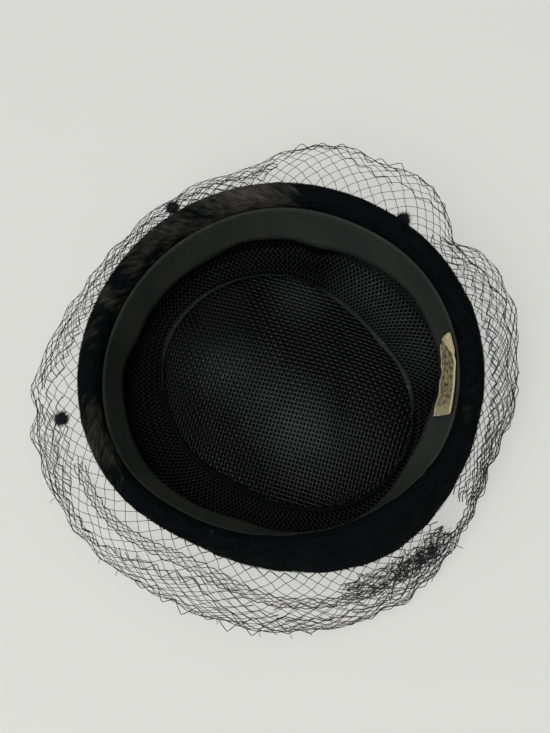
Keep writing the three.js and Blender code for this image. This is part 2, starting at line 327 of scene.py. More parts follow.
def start_growth(name, sizes):
    """A Geometry Nodes tree with one named input for each size. A whole number makes a whole input."""
    tree = bpy.data.node_groups.new(name, "GeometryNodeTree")
    tree.interface.new_socket("Source", in_out="INPUT", socket_type="NodeSocketGeometry")
    for title, value in sizes.items():
        kind = "NodeSocketInt" if isinstance(value, int) else "NodeSocketFloat"
        tree.interface.new_socket(title, in_out="INPUT", socket_type=kind)
    tree.interface.new_socket("Result", in_out="OUTPUT", socket_type="NodeSocketGeometry")
    bench = Bench(tree)
    entry = tree.nodes.new("NodeGroupInput")
    wires = {title: Wire(bench, entry.outputs[title]) for title in ("Source", *sizes)}
    return bench, wires


def end_growth(bench, geometry, material):
    """Realizes what was placed, gives it its finish, and ends the tree."""
    real = bench.node("GeometryNodeRealizeInstances", None, {"Geometry": geometry})
    dressed = bench.node("GeometryNodeSetMaterial", None, {"Geometry": real, "Material": material})
    bench.node("NodeGroupOutput", None, {"Result": dressed})


def link_piece(name, mesh):
    piece = bpy.data.objects.new(name, mesh)
    bpy.context.collection.objects.link(piece)
    return piece


def grow(name, tree, source, sizes):
    """Runs a tree on a source piece and keeps the result as a plain mesh of its own."""
    modifier = source.modifiers.new(name, "NODES")
    modifier.node_group = tree
    for item in tree.interface.items_tree:
        if item.name in sizes:
            modifier[item.identifier] = sizes[item.name]
    depsgraph = bpy.context.evaluated_depsgraph_get()
    mesh = bpy.data.meshes.new_from_object(source.evaluated_get(depsgraph), depsgraph=depsgraph)
    mesh.name = name
    source.modifiers.remove(modifier)
    bpy.data.objects.remove(source)
    piece = link_piece(name, mesh)
    print(name, "has", sum(len(face.vertices) - 2 for face in mesh.polygons), "triangles")
    return piece


def dress(piece, slot, *nodes):
    """The piece rides with the hat and stands for its CAD nodes, which it hides. The slot is not used."""
    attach(piece, "root")
    if nodes:
        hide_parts(*nodes)
    return piece


print("Bench ready")

# %% [markdown]
# ## Velvet
# Everything here is nearly black, so the finishes differ by gloss and by the little light they give
# back. Plush velvet is dark where its pile stands up and grey-brown where a hand has stroked it flat,
# which shows as tufts and fine streaks. They run in a swirl round the hat, so the mesh carries a
# place that is combed round with it. Three noises lay the pile over: a slow one in patches, one in
# tufts, and a fine one in streaks along the pile. Soft spots also lay it flat where the roll faces
# the light, as painted light, and one stands it up at the front, as painted shade.

# %% Velvet finish
PATCH_SCALE = 52
TUFT_SCALE = 260
TUFT_STRETCH = (1, 1, 2.4)
STREAK_SCALE = 900
STREAK_CONTRAST = 2.6
# How much each of the two slower noises lays the pile over, and how flat it must lie to show
PATCH_SWAY = 1.3
TUFT_SWAY = 1.1
STANDING = 0.30
STREAK_DEPTH = 0.0004
PILE_GLOSS = 0.04
# The standing pile's near black, and the flat pile's grey-brown, which in the lit spots also stands for
# painted light
PILE_UPRIGHT = (0.0027, 0.0033, 0.0038, 1)
PILE_STROKED_AND_LIT = (0.088, 0.084, 0.074, 1)
# Where the pile lies flat, placed where the roll faces the light as painted light, and with a negative
# share at the front as painted shade: azimuth, height, reach in metres, and how flat
STROKED_AND_LIT_PLACES = (
    (101, 0.060, 0.040, 1.0),
    (124, 0.060, 0.030, 0.62),
    (150, 0.054, 0.030, 0.78),
    (169, 0.054, 0.018, 0.60),
    (204, 0.058, 0.032, 0.62),
    (335, 0.060, 0.030, 0.20),
    (287, 0.046, 0.046, -0.55),
)


def spots(bench, place, centres):
    """Soft spots added up, from rows of a centre, a reach and a strength."""
    total = 0.0
    for centre, reach, strength in centres:
        gap = bench.vectors("DISTANCE", place, tuple(centre), output="Value")
        total = bench.clamped(1.0 - gap / reach) * strength + total
    return total


def velvet_finish():
    material, bench, place = start_finish("plush velvet")
    combed = bench.node("ShaderNodeAttribute", {"attribute_name": "combed"}, output="Vector")
    # Painted light and shade: the spots lay the pile flat and pale where the roll faces the light, and
    # darken it at the front
    stroked_and_lit = [(at(turn, rim_at(turn), height), *rest) for turn, height, *rest in STROKED_AND_LIT_PLACES]
    flat = spots(bench, place, stroked_and_lit)
    patches = bench.noise(place, PATCH_SCALE, 2.0)
    tufts = bench.noise(bench.stretched(combed, TUFT_STRETCH), TUFT_SCALE, 3.0)
    streaks = bench.clamped((bench.noise(combed, STREAK_SCALE, 2.0) - 0.5) * STREAK_CONTRAST + 0.5)
    sway = flat + (tufts - 0.5) * TUFT_SWAY + (patches - 0.5) * PATCH_SWAY
    lie = bench.clamped((sway - STANDING) * 1.05)
    shown = bench.clamped(lie * (0.42 + streaks * 0.85) + streaks * 0.022)
    colour = bench.colours(shown, PILE_UPRIGHT, PILE_STROKED_AND_LIT)
    fixed = {"Specular IOR Level": PILE_GLOSS}
    end_finish(bench, colour, 0.92 - shown * 0.25, streaks, STREAK_DEPTH, fixed)
    return material


VELVET = velvet_finish()
print("Velvet has", len(VELVET.node_tree.nodes), "nodes")

# %% [markdown]
# ## Grosgrain
# A ribbed ribbon is painted dark in the valleys between its ribs, as shade, with painted light on
# the crests, and it is paler in clouds where it is worn. The mesh carries its own length, and a
# cosine of that length tells the crests from the valleys. A fine grain breaks the ribs up, as the
# crossing threads do.

# %% Grosgrain finish
RIB_PITCH = 0.00105
WEAR_SCALE = 34
GRAIN_SCALE = 2600
GRAIN_DEPTH = 0.0001
RIBBON_GLOSS = 0.35
# The valley colour is painted shade and the crest colours are painted light, the second of them paler with
# wear
RIB_VALLEY_SHADE = (0.0050, 0.0062, 0.0056, 1)
RIB_CREST_LIT = (0.0215, 0.0275, 0.0245, 1)
RIB_CREST_LIT_WORN = (0.0480, 0.0490, 0.0430, 1)


def ribbon_finish():
    material, bench, place = start_finish("grosgrain")
    length = bench.node("ShaderNodeAttribute", {"attribute_name": "length"}, output="Fac")
    wear = bench.noise(place, WEAR_SCALE, 3.0)
    grain = bench.noise(place, GRAIN_SCALE, 1.0)
    # The cosine of the length paints shade into the valleys and light onto the crests
    rib = bench.maths("COSINE", length * (2 * math.pi / RIB_PITCH)) * 0.5 + 0.5
    cloud = bench.clamped((wear - 0.5) * 2.4 + 0.5)
    crest = bench.colours(cloud, RIB_CREST_LIT, RIB_CREST_LIT_WORN)
    light = bench.clamped(rib * 0.65 + (grain - 0.5) * 1.8 + 0.3)
    colour = bench.colours(light, RIB_VALLEY_SHADE, crest)
    fixed = {"Specular IOR Level": RIBBON_GLOSS}
    end_finish(bench, colour, 0.62 + grain * 0.2, grain, GRAIN_DEPTH, fixed)
    return material


GROSGRAIN = ribbon_finish()
print("Ribs to the round:", round(2 * math.pi * HEAD_RADIUS / RIB_PITCH))

# %% [markdown]
# ## Lining threads
# The lining's threads are black, stiff and glossy. Where the cloth is turned to the light their sheen
# is painted into their colour. The places are few and soft, so each is one spot with a reach. In a
# spot the threads are painted greyer, and a noise paints glints at some crossings.

# %% Lining finishes
PAINTED_SHEEN_HEIGHT = 0.014
WEAVE_WEAR_SCALE = 45
LUSTRE_SCALE = 700
PAINTED_GLINT_SCALE = 430
PAINTED_GLINT_LEVEL = 0.66
LUSTRE_DEPTH = 0.00008
THREAD_BLACK = (0.0012, 0.0015, 0.0017, 1)
THREAD_WORN = (0.0030, 0.0031, 0.0030, 1)
# Painted sheen and painted glint colours of the threads
THREAD_PAINTED_SHEEN = (0.040, 0.041, 0.042, 1)
THREAD_PAINTED_GLINT = (0.300, 0.300, 0.290, 1)
# Where sheen is painted on the tip's and the side's lining: x, y and reach in metres, and how much.
# The seam's places are given by azimuth.
TIP_PAINTED_SHEEN = (
    (-0.040, 0.022, 0.024, 0.28),
    (-0.022, 0.010, 0.026, 0.48),
    (0.001, -0.012, 0.028, 0.55),
    (0.012, -0.030, 0.026, 0.32),
    (0.034, -0.024, 0.024, 0.14),
    (0.008, 0.056, 0.022, 0.40),
    (0.050, -0.036, 0.020, 0.10),
)
SIDE_PAINTED_SHEEN = (
    (0.040, 0.062, 0.022, 0.55),
    (0.054, 0.050, 0.022, 0.60),
    (0.066, 0.036, 0.022, 0.55),
    (0.074, 0.018, 0.022, 0.40),
)
SEAM_PAINTED_SHEEN = (
    (55, 0.022, 0.50),
    (28, 0.022, 0.60),
    (5, 0.020, 0.55),
    (150, 0.022, 0.35),
    (132, 0.022, 0.30),
)


def lining_finish(name, painted_sheen_spots, gloss, roughness=0.16):
    """Nearly black threads. Where the painted sheen lies they are greyer, with painted glints at some
    crossings.
    """
    material, bench, place = start_finish(name)
    wear = bench.noise(place, WEAVE_WEAR_SCALE, 2.0)
    lustre = bench.noise(place, LUSTRE_SCALE, 2.0)
    dark = bench.colours(wear, THREAD_BLACK, THREAD_WORN)
    # Painted sheen: spots where the cloth is turned to the light make the threads greyer
    painted_sheen = spots(bench, place, [((x, y, PAINTED_SHEEN_HEIGHT), *rest) for x, y, *rest in painted_sheen_spots])
    shown = bench.clamped(painted_sheen * (0.5 + wear))
    # Painted glints: bright specks at some crossings inside the painted sheen
    painted_glint = bench.clamped((bench.noise(place, PAINTED_GLINT_SCALE, 1.0) - PAINTED_GLINT_LEVEL) * 7.0) * shown
    colour = bench.colours(shown, dark, bench.colours(painted_glint, THREAD_PAINTED_SHEEN, THREAD_PAINTED_GLINT))
    fixed = {"Specular IOR Level": gloss}
    end_finish(bench, colour, roughness + lustre * 0.30, lustre, LUSTRE_DEPTH, fixed)
    return material


# The seam's painted sheen, set on the ridge by azimuth
seam_painted_sheen = [(*at(turn, seam_at(turn), 0)[:2], reach, strength) for turn, reach, strength in SEAM_PAINTED_SHEEN]
TIP_LINING = lining_finish("tip lining thread", TIP_PAINTED_SHEEN, 0.20)
SIDE_LINING = lining_finish("side lining thread", SIDE_PAINTED_SHEEN, 0.12)
SEAM_CLOTH = lining_finish("lining's turned edge", seam_painted_sheen, 0.05, roughness=0.55)
print("Sheen on tip, side and seam:", len(TIP_PAINTED_SHEEN), len(SIDE_PAINTED_SHEEN), len(seam_painted_sheen), "spots")

# %% [markdown]
# ## Veiling and chenille
# The veil's thread is a thin dark twist, and the dots are a plum chenille. Both only change a little
# from place to place, so a slow noise between two colours is enough.

# %% Veiling and chenille finishes
VEILING_DARK = (0.006, 0.005, 0.007, 1)
VEILING_LIGHT = (0.017, 0.013, 0.018, 1)
CHENILLE_DARK = (0.0030, 0.0015, 0.0030, 1)
CHENILLE_LIGHT = (0.020, 0.009, 0.018, 1)


def veiling_finish():
    material, bench, place = start_finish("veiling")
    shade = bench.noise(place, 160, 2.0)
    twist = bench.noise(place, 3200, 1.0)
    colour = bench.colours(shade, VEILING_DARK, VEILING_LIGHT)
    end_finish(bench, colour, 0.5 + twist * 0.3, twist, 0.00005)
    return material


def chenille_finish():
    material, bench, place = start_finish("chenille")
    shade = bench.noise(place, 700, 2.0)
    colour = bench.colours(shade, CHENILLE_DARK, CHENILLE_LIGHT)
    end_finish(bench, colour, 0.8 + shade * 0.15, shade, 0.0002)
    return material


VEILING = veiling_finish()
CHENILLE = chenille_finish()
print("Finishes:", [material.name for material in bpy.data.materials])

# %% [markdown]
# ## Lofts
# Most of the cloth runs round the hat with one section that changes slowly. A loft joins a section at
# each azimuth to the next one. Its faces might come out either way round, so the finished solid is
# measured, and turned if its volume is negative.

# %% Loft helper


def face_out(mesh):
    """Merges poles, and turns the faces of a closed mesh outwards."""
    work = bmesh.new()
    work.from_mesh(mesh)
    bmesh.ops.remove_doubles(work, verts=work.verts, dist=1e-6)
    if work.calc_volume(signed=True) < 0:
        bmesh.ops.reverse_faces(work, faces=work.faces)
    work.to_mesh(mesh)
    work.free()


def carry(mesh, title, values):
    """Gives each point of a mesh a number or a vector, which finishes and trees read by its title."""
    vector = values.size == 3 * len(mesh.vertices)
    field = mesh.attributes.new(title, "FLOAT_VECTOR" if vector else "FLOAT", "POINT")
    field.data.foreach_set("vector" if vector else "value", values.ravel())


def loft(name, points, loop=True, ring=True, material=None, attributes=None):
    """A surface through points[section][place]. A loop closes each section, a ring joins the last to
    the first. Attributes are numbers or vectors for each point."""
    sections, places = points.shape[:2]
    index = np.arange(sections * places).reshape(sections, places)
    here = index if ring else index[:-1]
    there = np.roll(index, -1, axis=0) if ring else index[1:]
    if loop:
        here = np.hstack([here, here[:, :1]])
        there = np.hstack([there, there[:, :1]])
    faces = np.stack([here[:, :-1], there[:, :-1], there[:, 1:], here[:, 1:]], axis=-1).reshape(-1, 4)
    mesh = bpy.data.meshes.new(name)
    mesh.from_pydata(points.reshape(-1, 3).tolist(), [], faces.tolist())
    for title, values in (attributes or {}).items():
        carry(mesh, title, values)
    face_out(mesh)
    mesh.shade_smooth()
    if material:
        mesh.materials.append(material)
    return link_piece(name, mesh)


def section_normals(path):
    """For each point of a section, the way to the left of its path."""
    along = np.gradient(path, axis=-2)
    along /= np.linalg.norm(along, axis=-1, keepdims=True)
    return np.stack([-along[..., 1], along[..., 0]], axis=-1)


def closed_wall(path, wall):
    """A wall of even thickness round paths in the section plane, given as arrays of (radius, height)."""
    left = section_normals(path)
    return np.concatenate([path + left * wall / 2, (path - left * wall / 2)[..., ::-1, :]], axis=-2)


def place_sections(azimuth, section):
    """Sections of (radius, height), stood up at their azimuths."""
    return at(azimuth[:, None], section[..., 0], section[..., 1])


print("Loft ready")


# %% [markdown]
# ## The velvet crown
# The crown is one piece of velvet over a stiff foundation: a flat tip, a rounded corner, a side, and
# an edge rolled inwards round a hollow. It could be drawn with curves, but its section is four plain
# stretches of lines and arcs, so a loft of 288 sections is exact and keeps the round's small bends.
# A little unevenness is added, because pressed velvet is never quite even. The combed place that the
# finish reads turns a little further round with each step outwards, as the stroked pile does.

# %% Crown
ROUND = np.arange(288) * 360 / 288
FLAT_STEPS = 8
CORNER_STEPS = 9
SIDE_STEPS = 9
ROLL_STEPS = 22
# Where the roll's arc starts and ends, in degrees from straight out
ROLL_ARC = (-30, 180)
# How far the cloth departs from smooth, and how many waves of it go round
UNEVEN = 0.00035
UNEVEN_LOBES = 40
SIDE_START = FLAT_STEPS
ROLL_START = FLAT_STEPS + CORNER_STEPS + 1 + SIDE_STEPS
COMB_SLANT = math.radians(46)
COMB_DRAW = 0.30


def arc(centre_radius, centre_height, width, height, start, end, steps):
    """An elliptic arc in the section plane, at every azimuth."""
    turn = np.radians(np.linspace(start, end, steps + 1))
    widths = np.broadcast_to(width, centre_radius.shape)
    radius = centre_radius[:, None] + np.multiply.outer(widths, np.cos(turn))
    level = centre_height + height * np.sin(turn)
    return np.stack(np.broadcast_arrays(radius, level), axis=-1)


def crown_path(azimuth):
    """The velvet's outer face, from the middle of the tip round the roll to the turned-in edge."""
    flat = foot_at(azimuth) - CORNER_WIDTH
    inner, rim = roll_inner_at(azimuth), rim_at(azimuth)
    shares = np.linspace(0, 1, FLAT_STEPS, endpoint=False)
    tip = np.stack([np.multiply.outer(flat, shares), np.zeros((len(azimuth), FLAT_STEPS))], axis=-1)
    corner = arc(flat, CORNER_HEIGHT, CORNER_WIDTH, CORNER_HEIGHT, -90, 0, CORNER_STEPS)
    heights = np.linspace(CORNER_HEIGHT, NECK_HEIGHT, SIDE_STEPS + 1)[1:]
    side = np.stack(np.broadcast_arrays(wall_at(azimuth[:, None], heights), heights), axis=-1)
    roll = arc((inner + rim) / 2, ROLL_MIDDLE, (rim - inner) / 2, ROLL_HALF_HEIGHT, *ROLL_ARC, ROLL_STEPS)
    edge = np.stack([inner, np.full_like(inner, HAT_HEIGHT - TURN_IN_DEPTH)], axis=-1)[:, None]
    return np.concatenate([tip, corner, side, roll, edge], axis=1)


def combed_places(path):
    """The place that the velvet's patterns read: across the pile's swirl, and a little along it."""
    steps = np.linalg.norm(np.diff(path, axis=1), axis=-1).mean(axis=0)
    run = np.concatenate([[0], np.cumsum(steps)])
    swirl = np.radians(ROUND)[:, None] + run * math.tan(COMB_SLANT) / HEAD_RADIUS
    drawn = np.broadcast_to(run * COMB_DRAW, swirl.shape)
    return np.stack([HEAD_RADIUS * np.cos(swirl), HEAD_RADIUS * np.sin(swirl), drawn], axis=-1)


def make_crown():
    outer = crown_path(ROUND)
    left = section_normals(outer)
    combed = combed_places(outer)
    rise = np.clip(outer[..., 1] / CORNER_HEIGHT, 0, 1)
    bumps = np.stack([ripple(ROUND, UNEVEN_LOBES, 3 + k % 7) for k in range(outer.shape[1])], axis=1)
    outer = outer - left * (UNEVEN * rise * bumps)[..., None]
    inner = (outer + left * CLOTH_WALL)[:, ::-1]
    inner[:, -1, 0] = 0
    section = np.concatenate([outer, inner], axis=1)
    skin = place_sections(ROUND, section)
    places = {"combed": np.concatenate([combed, combed[:, ::-1]], axis=1)}
    return loft("crown_velvet", skin, loop=False, material=VELVET, attributes=places)


crown = dress(make_crown(), "velvet", "crown_shell")
print("Crown vertices:", len(crown.data.vertices))

# %% [markdown]
# ## The pile
# Plush has a pile that stands about a millimetre proud. A bump alone would leave the hat's edge as
# smooth as plastic, so short fibres grow on the roll and the side: some sixty-five thousand
# three-sided spikes, scattered by Geometry Nodes and laid over along the swirl. They hold the same
# combed place as the cloth under them, so tufts and streaks run through both.

# %% Pile
# Fibres to the square metre
ROLL_FIBRES = 2.6e6
SIDE_FIBRES = 1.0e6
PILE_FOOT = 4
# How far a fibre strays from the pile's lay, each way, and its length as a share of the usual one
PILE_STRAY = ((-0.34, -0.34, -0.2), (0.34, 0.34, 0.32))
PILE_LENGTHS = (0.6, 1.25)
PILE_SIZES = {"Fibres": 1.0, "Length": 0.0015, "Radius": 0.00011, "Rise": 0.42, "Seed": 5}


def pile_tree(material, sizes, keep_cloth=False):
    """Spikes scattered over a cloth. The cloth itself stays too if it is asked for."""
    bench, wires = start_growth("pile of " + material.name, sizes)
    lay = bench.carried("lay", "FLOAT_VECTOR")
    points = bench.node(
        "GeometryNodeDistributePointsOnFaces",
        {"distribute_method": "RANDOM"},
        {"Mesh": wires["Source"], "Density": wires["Fibres"], "Seed": wires["Seed"]},
    )
    stray = bench.node(
        "FunctionNodeRandomValue",
        {"data_type": "FLOAT_VECTOR"},
        {0: PILE_STRAY[0], 1: PILE_STRAY[1], "Seed": wires["Seed"]},
    )
    rise = bench.scaled(points.beside("Normal"), wires["Rise"])
    heading = bench.vectors("ADD", bench.vectors("ADD", rise, lay), stray)
    turn = bench.node("FunctionNodeAlignRotationToVector", {"axis": "Z"}, {"Vector": heading})
    length = bench.node(
        "FunctionNodeRandomValue",
        {"data_type": "FLOAT"},
        {2: PILE_LENGTHS[0], 3: PILE_LENGTHS[1], "Seed": wires["Seed"]},
        output=1,
    )
    size = bench.node("ShaderNodeCombineXYZ", None, {0: 1.0, 1: 1.0, 2: length})
    spike = bench.node(
        "GeometryNodeMeshCone",
        {"fill_type": "NGON"},
        {"Vertices": 3, "Radius Top": 0.0, "Radius Bottom": wires["Radius"], "Depth": wires["Length"]},
    )
    grown = bench.node(
        "GeometryNodeInstanceOnPoints",
        None,
        {"Points": points, "Instance": spike, "Rotation": turn, "Scale": size},
    )
    if keep_cloth:
        grown = bench.node("GeometryNodeJoinGeometry", None, {"Geometry": [grown, wires["Source"]]})
    end_growth(bench, grown, material)
    return bench.tree


def faces_inwards(mesh):
    """True if an open ring's faces look at the hat's middle."""
    centres = np.zeros(len(mesh.polygons) * 3)
    normals = np.zeros(len(mesh.polygons) * 3)
    mesh.polygons.foreach_get("center", centres)
    mesh.polygons.foreach_get("normal", normals)
    centres = centres.reshape(-1, 3)
    return ((centres - centres.mean(axis=0)) * normals.reshape(-1, 3)).sum() < 0


def grow_pile(name, first, last, fibres, seed):
    """Pile on the stretch of the crown's outer face between two places of its section."""
    path = crown_path(ROUND)
    skin = place_sections(ROUND, path)
    outwards = np.gradient(skin, axis=1)
    outwards /= np.linalg.norm(outwards, axis=-1, keepdims=True) + 1e-9
    round_way = np.roll(skin, -1, axis=0) - np.roll(skin, 1, axis=0)
    round_way /= np.linalg.norm(round_way, axis=-1, keepdims=True) + 1e-9
    lay = math.sin(COMB_SLANT) * round_way - math.cos(COMB_SLANT) * outwards
    fields = {"lay": lay[:, first:last], "combed": combed_places(path)[:, first:last]}
    base = loft(name + "_base", skin[:, first:last], loop=False, attributes=fields)
    if faces_inwards(base.data):
        base.data.flip_normals()
    sizes = {**PILE_SIZES, "Fibres": fibres, "Seed": seed}
    return dress(grow(name, PILE, base, sizes), "velvet")


PILE = pile_tree(VELVET, PILE_SIZES)
grow_pile("roll_pile", ROLL_START, ROLL_START + ROLL_STEPS, ROLL_FIBRES, 5)
grow_pile("side_pile", SIDE_START + PILE_FOOT, ROLL_START + 1, SIDE_FIBRES, 6)

# %% [markdown]
# ## The sweatband
# A grosgrain ribbon stands inside the opening, sewn along its top edge and leaning in at the bottom,
# where it waves. Its ribs run across the ribbon, about a millimetre apart. They are low, but the
# light rakes over them, so they are raised in the mesh: the ribbon is lofted finely, and a Geometry
# Nodes tree lifts it by a wave that follows its own length. The finish paints shade into the valleys
# between them.

# %% Ribbon
RIB_HEIGHT = 0.00022
SAMPLES_TO_A_RIB = 4
RIBBON_WALL = BAND_WALL * 0.7
BAND_BOW = 0.2
BAND_SHARES = np.linspace(0, 1, 9)
# Azimuth, half width in degrees, and how much further the lower edge leans in there, in metres
FLUTES = (
    (75, 9, 0.0026),
    (105, 9, -0.0012),
    (120, 7, 0.0008),
    (160, 6, 0.0010),
    (174, 8, -0.0016),
    (255, 13, 0.0022),
    (345, 8, 0.0010),
    (20, 8, 0.0008),
)


def band_lean(azimuth):
    lean = BAND_LEAN * around("lean", azimuth)
    return lean + sum(depth * swell(azimuth, centre, width) for centre, width, depth in FLUTES)


def band_path(azimuth, shares=BAND_SHARES):
    """The ribbon's middle, from its lower edge at share 0 to its top edge at share 1."""
    lean = band_lean(azimuth)[..., None]
    drop = np.sqrt(BAND_WIDTH**2 - lean**2)
    down = 1 - shares
    inwards = lean * ((1 - BAND_BOW) * down + BAND_BOW * down**2)
    radius = head_at(azimuth)[..., None] + BAND_WALL / 2 - inwards
    return np.stack(np.broadcast_arrays(radius, HAT_HEIGHT - BAND_DROP - drop * down), axis=-1)


def rib_tree(sizes):
    bench, wires = start_growth("grosgrain ribs", sizes)
    length = bench.carried("length")
    wave = bench.maths("COSINE", length * (2 * math.pi) / wires["Pitch"])
    lift = bench.scaled(bench.node("GeometryNodeInputNormal"), wave * wires["Height"])
    ribbed = bench.node("GeometryNodeSetPosition", None, {"Geometry": wires["Source"], "Offset": lift})
    end_growth(bench, ribbed, GROSGRAIN)
    return bench.tree


def make_band():
    girth = 2 * math.pi * HEAD_RADIUS
    ribs = round(girth / RIB_PITCH)
    azimuth = np.arange(ribs * SAMPLES_TO_A_RIB) * 360 / (ribs * SAMPLES_TO_A_RIB)
    section = closed_wall(band_path(azimuth), RIBBON_WALL)
    run = np.repeat(azimuth[:, None] / 360 * ribs * RIB_PITCH, section.shape[1], axis=1)
    flat = loft("band_base", place_sections(azimuth, section), attributes={"length": run})
    sizes = {"Pitch": RIB_PITCH, "Height": RIB_HEIGHT}
    return grow("sweatband_ribbon", rib_tree(sizes), flat, sizes)


band = dress(make_band(), "grosgrain", "sweatband")

# %% [markdown]
# ## Threads
# The lining, the veil and its loose ends are all threads. Each is written as a centreline, which
# carries its own thickness and the way its flat side faces. One tree turns any number of
# centrelines into tubes of few sides, and ties a small knot where a centreline is marked.

# %% Threads


class Threads:
    """Gathers centrelines in one edge mesh."""

    def __init__(self):
        self.parts = {"point": [], "up": [], "thickness": [], "knot": []}
        self.edges = []
        self.count = 0

    def add(self, line, up=(0, 0, 1), thickness=1.0, knot=0.0):
        many = len(line)
        self.parts["point"].append(np.asarray(line, float))
        self.parts["up"].append(np.broadcast_to(up, (many, 3)))
        self.parts["thickness"].append(np.broadcast_to(thickness, many))
        self.parts["knot"].append(np.broadcast_to(knot, many))
        first = np.arange(self.count, self.count + many - 1)
        self.edges.append(np.stack([first, first + 1], axis=-1))
        self.count += many

    def guide(self, name):
        mesh = bpy.data.meshes.new(name)
        points = np.concatenate(self.parts["point"])
        mesh.from_pydata(points.tolist(), np.concatenate(self.edges).tolist(), [])
        for title in ("up", "thickness", "knot"):
            carry(mesh, title, np.concatenate(self.parts[title]).astype(float))
        return link_piece(name, mesh)


def thread_tree(material, sizes):
    bench, wires = start_growth("threads of " + material.name, sizes)
    up = bench.carried("up", "FLOAT_VECTOR")
    thickness = bench.carried("thickness")
    knot = bench.carried("knot")
    curve = bench.node("GeometryNodeMeshToCurve", None, {"Mesh": wires["Source"]})
    faced = bench.node("GeometryNodeSetCurveNormal", {"mode": "FREE"}, {"Curve": curve, "Normal": up})
    ring = bench.node(
        "GeometryNodeCurvePrimitiveCircle",
        {"mode": "RADIUS"},
        {"Resolution": wires["Sides"], "Radius": wires["Radius"]},
    )
    oval = bench.node("ShaderNodeCombineXYZ", None, {0: wires["Flatness"], 1: 1.0, 2: 1.0})
    profile = bench.node("GeometryNodeTransform", None, {"Geometry": ring, "Scale": oval})
    tube = bench.node(
        "GeometryNodeCurveToMesh",
        None,
        {"Curve": faced, "Profile Curve": profile, "Scale": thickness, "Fill Caps": True},
    )
    round_tube = bench.node("GeometryNodeSetShadeSmooth", None, {"Geometry": tube})
    bead = bench.node(
        "GeometryNodeMeshUVSphere", None, {"Segments": 4, "Rings": 2, "Radius": wires["Knot"]}
    )
    tied = bench.node(
        "GeometryNodeInstanceOnPoints",
        None,
        {"Points": wires["Source"], "Selection": knot, "Instance": bead},
    )
    both = bench.node("GeometryNodeJoinGeometry", None, {"Geometry": [round_tube, tied]})
    end_growth(bench, both, material)
    return bench.tree


THREAD_SIZES = {"Radius": 0.0005, "Flatness": 1.0, "Sides": 4, "Knot": 0.0005}
TIP_TREE = thread_tree(TIP_LINING, THREAD_SIZES)
SIDE_TREE = thread_tree(SIDE_LINING, THREAD_SIZES)
VEILING_TREE = thread_tree(VEILING, THREAD_SIZES)
print("Thread trees:", [tree.name for tree in (TIP_TREE, SIDE_TREE, VEILING_TREE)])

# %% [markdown]
# ## The lining
# The lining is a stiff open weave of flat, glossy threads, about two millimetres apart. The side
# strip is cut on the bias, so its threads climb at 45 degrees, while the round tip has them square,
# turned a little. A bumped sheet would show no holes, so every thread is laid, passing over and under
# its neighbours. The threads are wide for their spacing, so only pinholes are left between them.

# %% Lining
TIP_PITCHES = (0.0022, 0.0019)
WEAVE_LIFT = 0.00016
LINING_SIZES = {"Radius": 0.00072, "Flatness": 0.26, "Sides": 4, "Knot": 0.0001}
BIAS_THREADS = 180
BIAS_SLANT = 17
BIAS_STEPS = 4 * BIAS_SLANT
LINING_SLACK = 0.004
LINING_STEPS = 12
TIP_REACH = 0.080
TIP_TURN = math.radians(-17)
TIP_MARGIN = 0.0006
TIP_SETBACK = 0.0015
TIP_FULLEST = 315
TIP_LOPSIDED = 0.7
# How far the tip's threads bow, and how fast the bow changes across and along them, to the metre
TIP_BOW = 0.0012
TIP_BOW_RATES = (70, 25)
# Azimuth, half width in degrees and depth in metres of the puckers in the side strip
PUCKERS = ((78, 5, 0.0022), (40, 24, 0.0030), (8, 6, 0.0012), (250, 10, 0.0014), (205, 8, 0.0008))


def side_lining_path(azimuth):
    """The side strip's section, from the seam up behind the sweatband."""
    flat = foot_at(azimuth) - CORNER_WIDTH
    belly = side_at(azimuth) - CLOTH_WALL - LINING_SLACK
    pucker = sum(depth * swell(azimuth, centre, width) for centre, width, depth in PUCKERS)
    stations = (
        (seam_at(azimuth) + SEAT, SEAM_HEIGHT),
        (flat + 0.25 * CORNER_WIDTH, SEAM_HEIGHT + 0.001),
        (flat + 0.6 * CORNER_WIDTH - pucker, SEAM_HEIGHT + 0.005 + pucker),
        (belly - pucker, HAT_HEIGHT * 0.45),
        (roll_inner_at(azimuth) + CLOTH_WALL / 2, HAT_HEIGHT - TURN_IN_DEPTH - SEAT),
    )
    points = [np.stack(np.broadcast_arrays(radius, height), axis=-1) for radius, height in stations]
    return smooth_path(points, LINING_STEPS)


def even_steps(path, count):
    """The same curves with evenly spaced points."""
    gaps = np.linalg.norm(np.diff(path, axis=1), axis=-1)
    run = np.concatenate([np.zeros((len(path), 1)), np.cumsum(gaps, axis=1)], axis=1)
    out = np.empty((len(path), count + 1, path.shape[2]))
    for row, (line, length) in enumerate(zip(path, run)):
        places = np.linspace(0, length[-1], count + 1)
        for axis in range(path.shape[2]):
            out[row, :, axis] = np.interp(places, length, line[:, axis])
    return out


def surface_normals(points):
    """Normals of a closed round grid of points[section][place], towards the hat's middle."""
    round_way = np.roll(points, -1, axis=0) - np.roll(points, 1, axis=0)
    normals = np.cross(np.gradient(points, axis=1), round_way)
    return normals / np.linalg.norm(normals, axis=-1, keepdims=True)


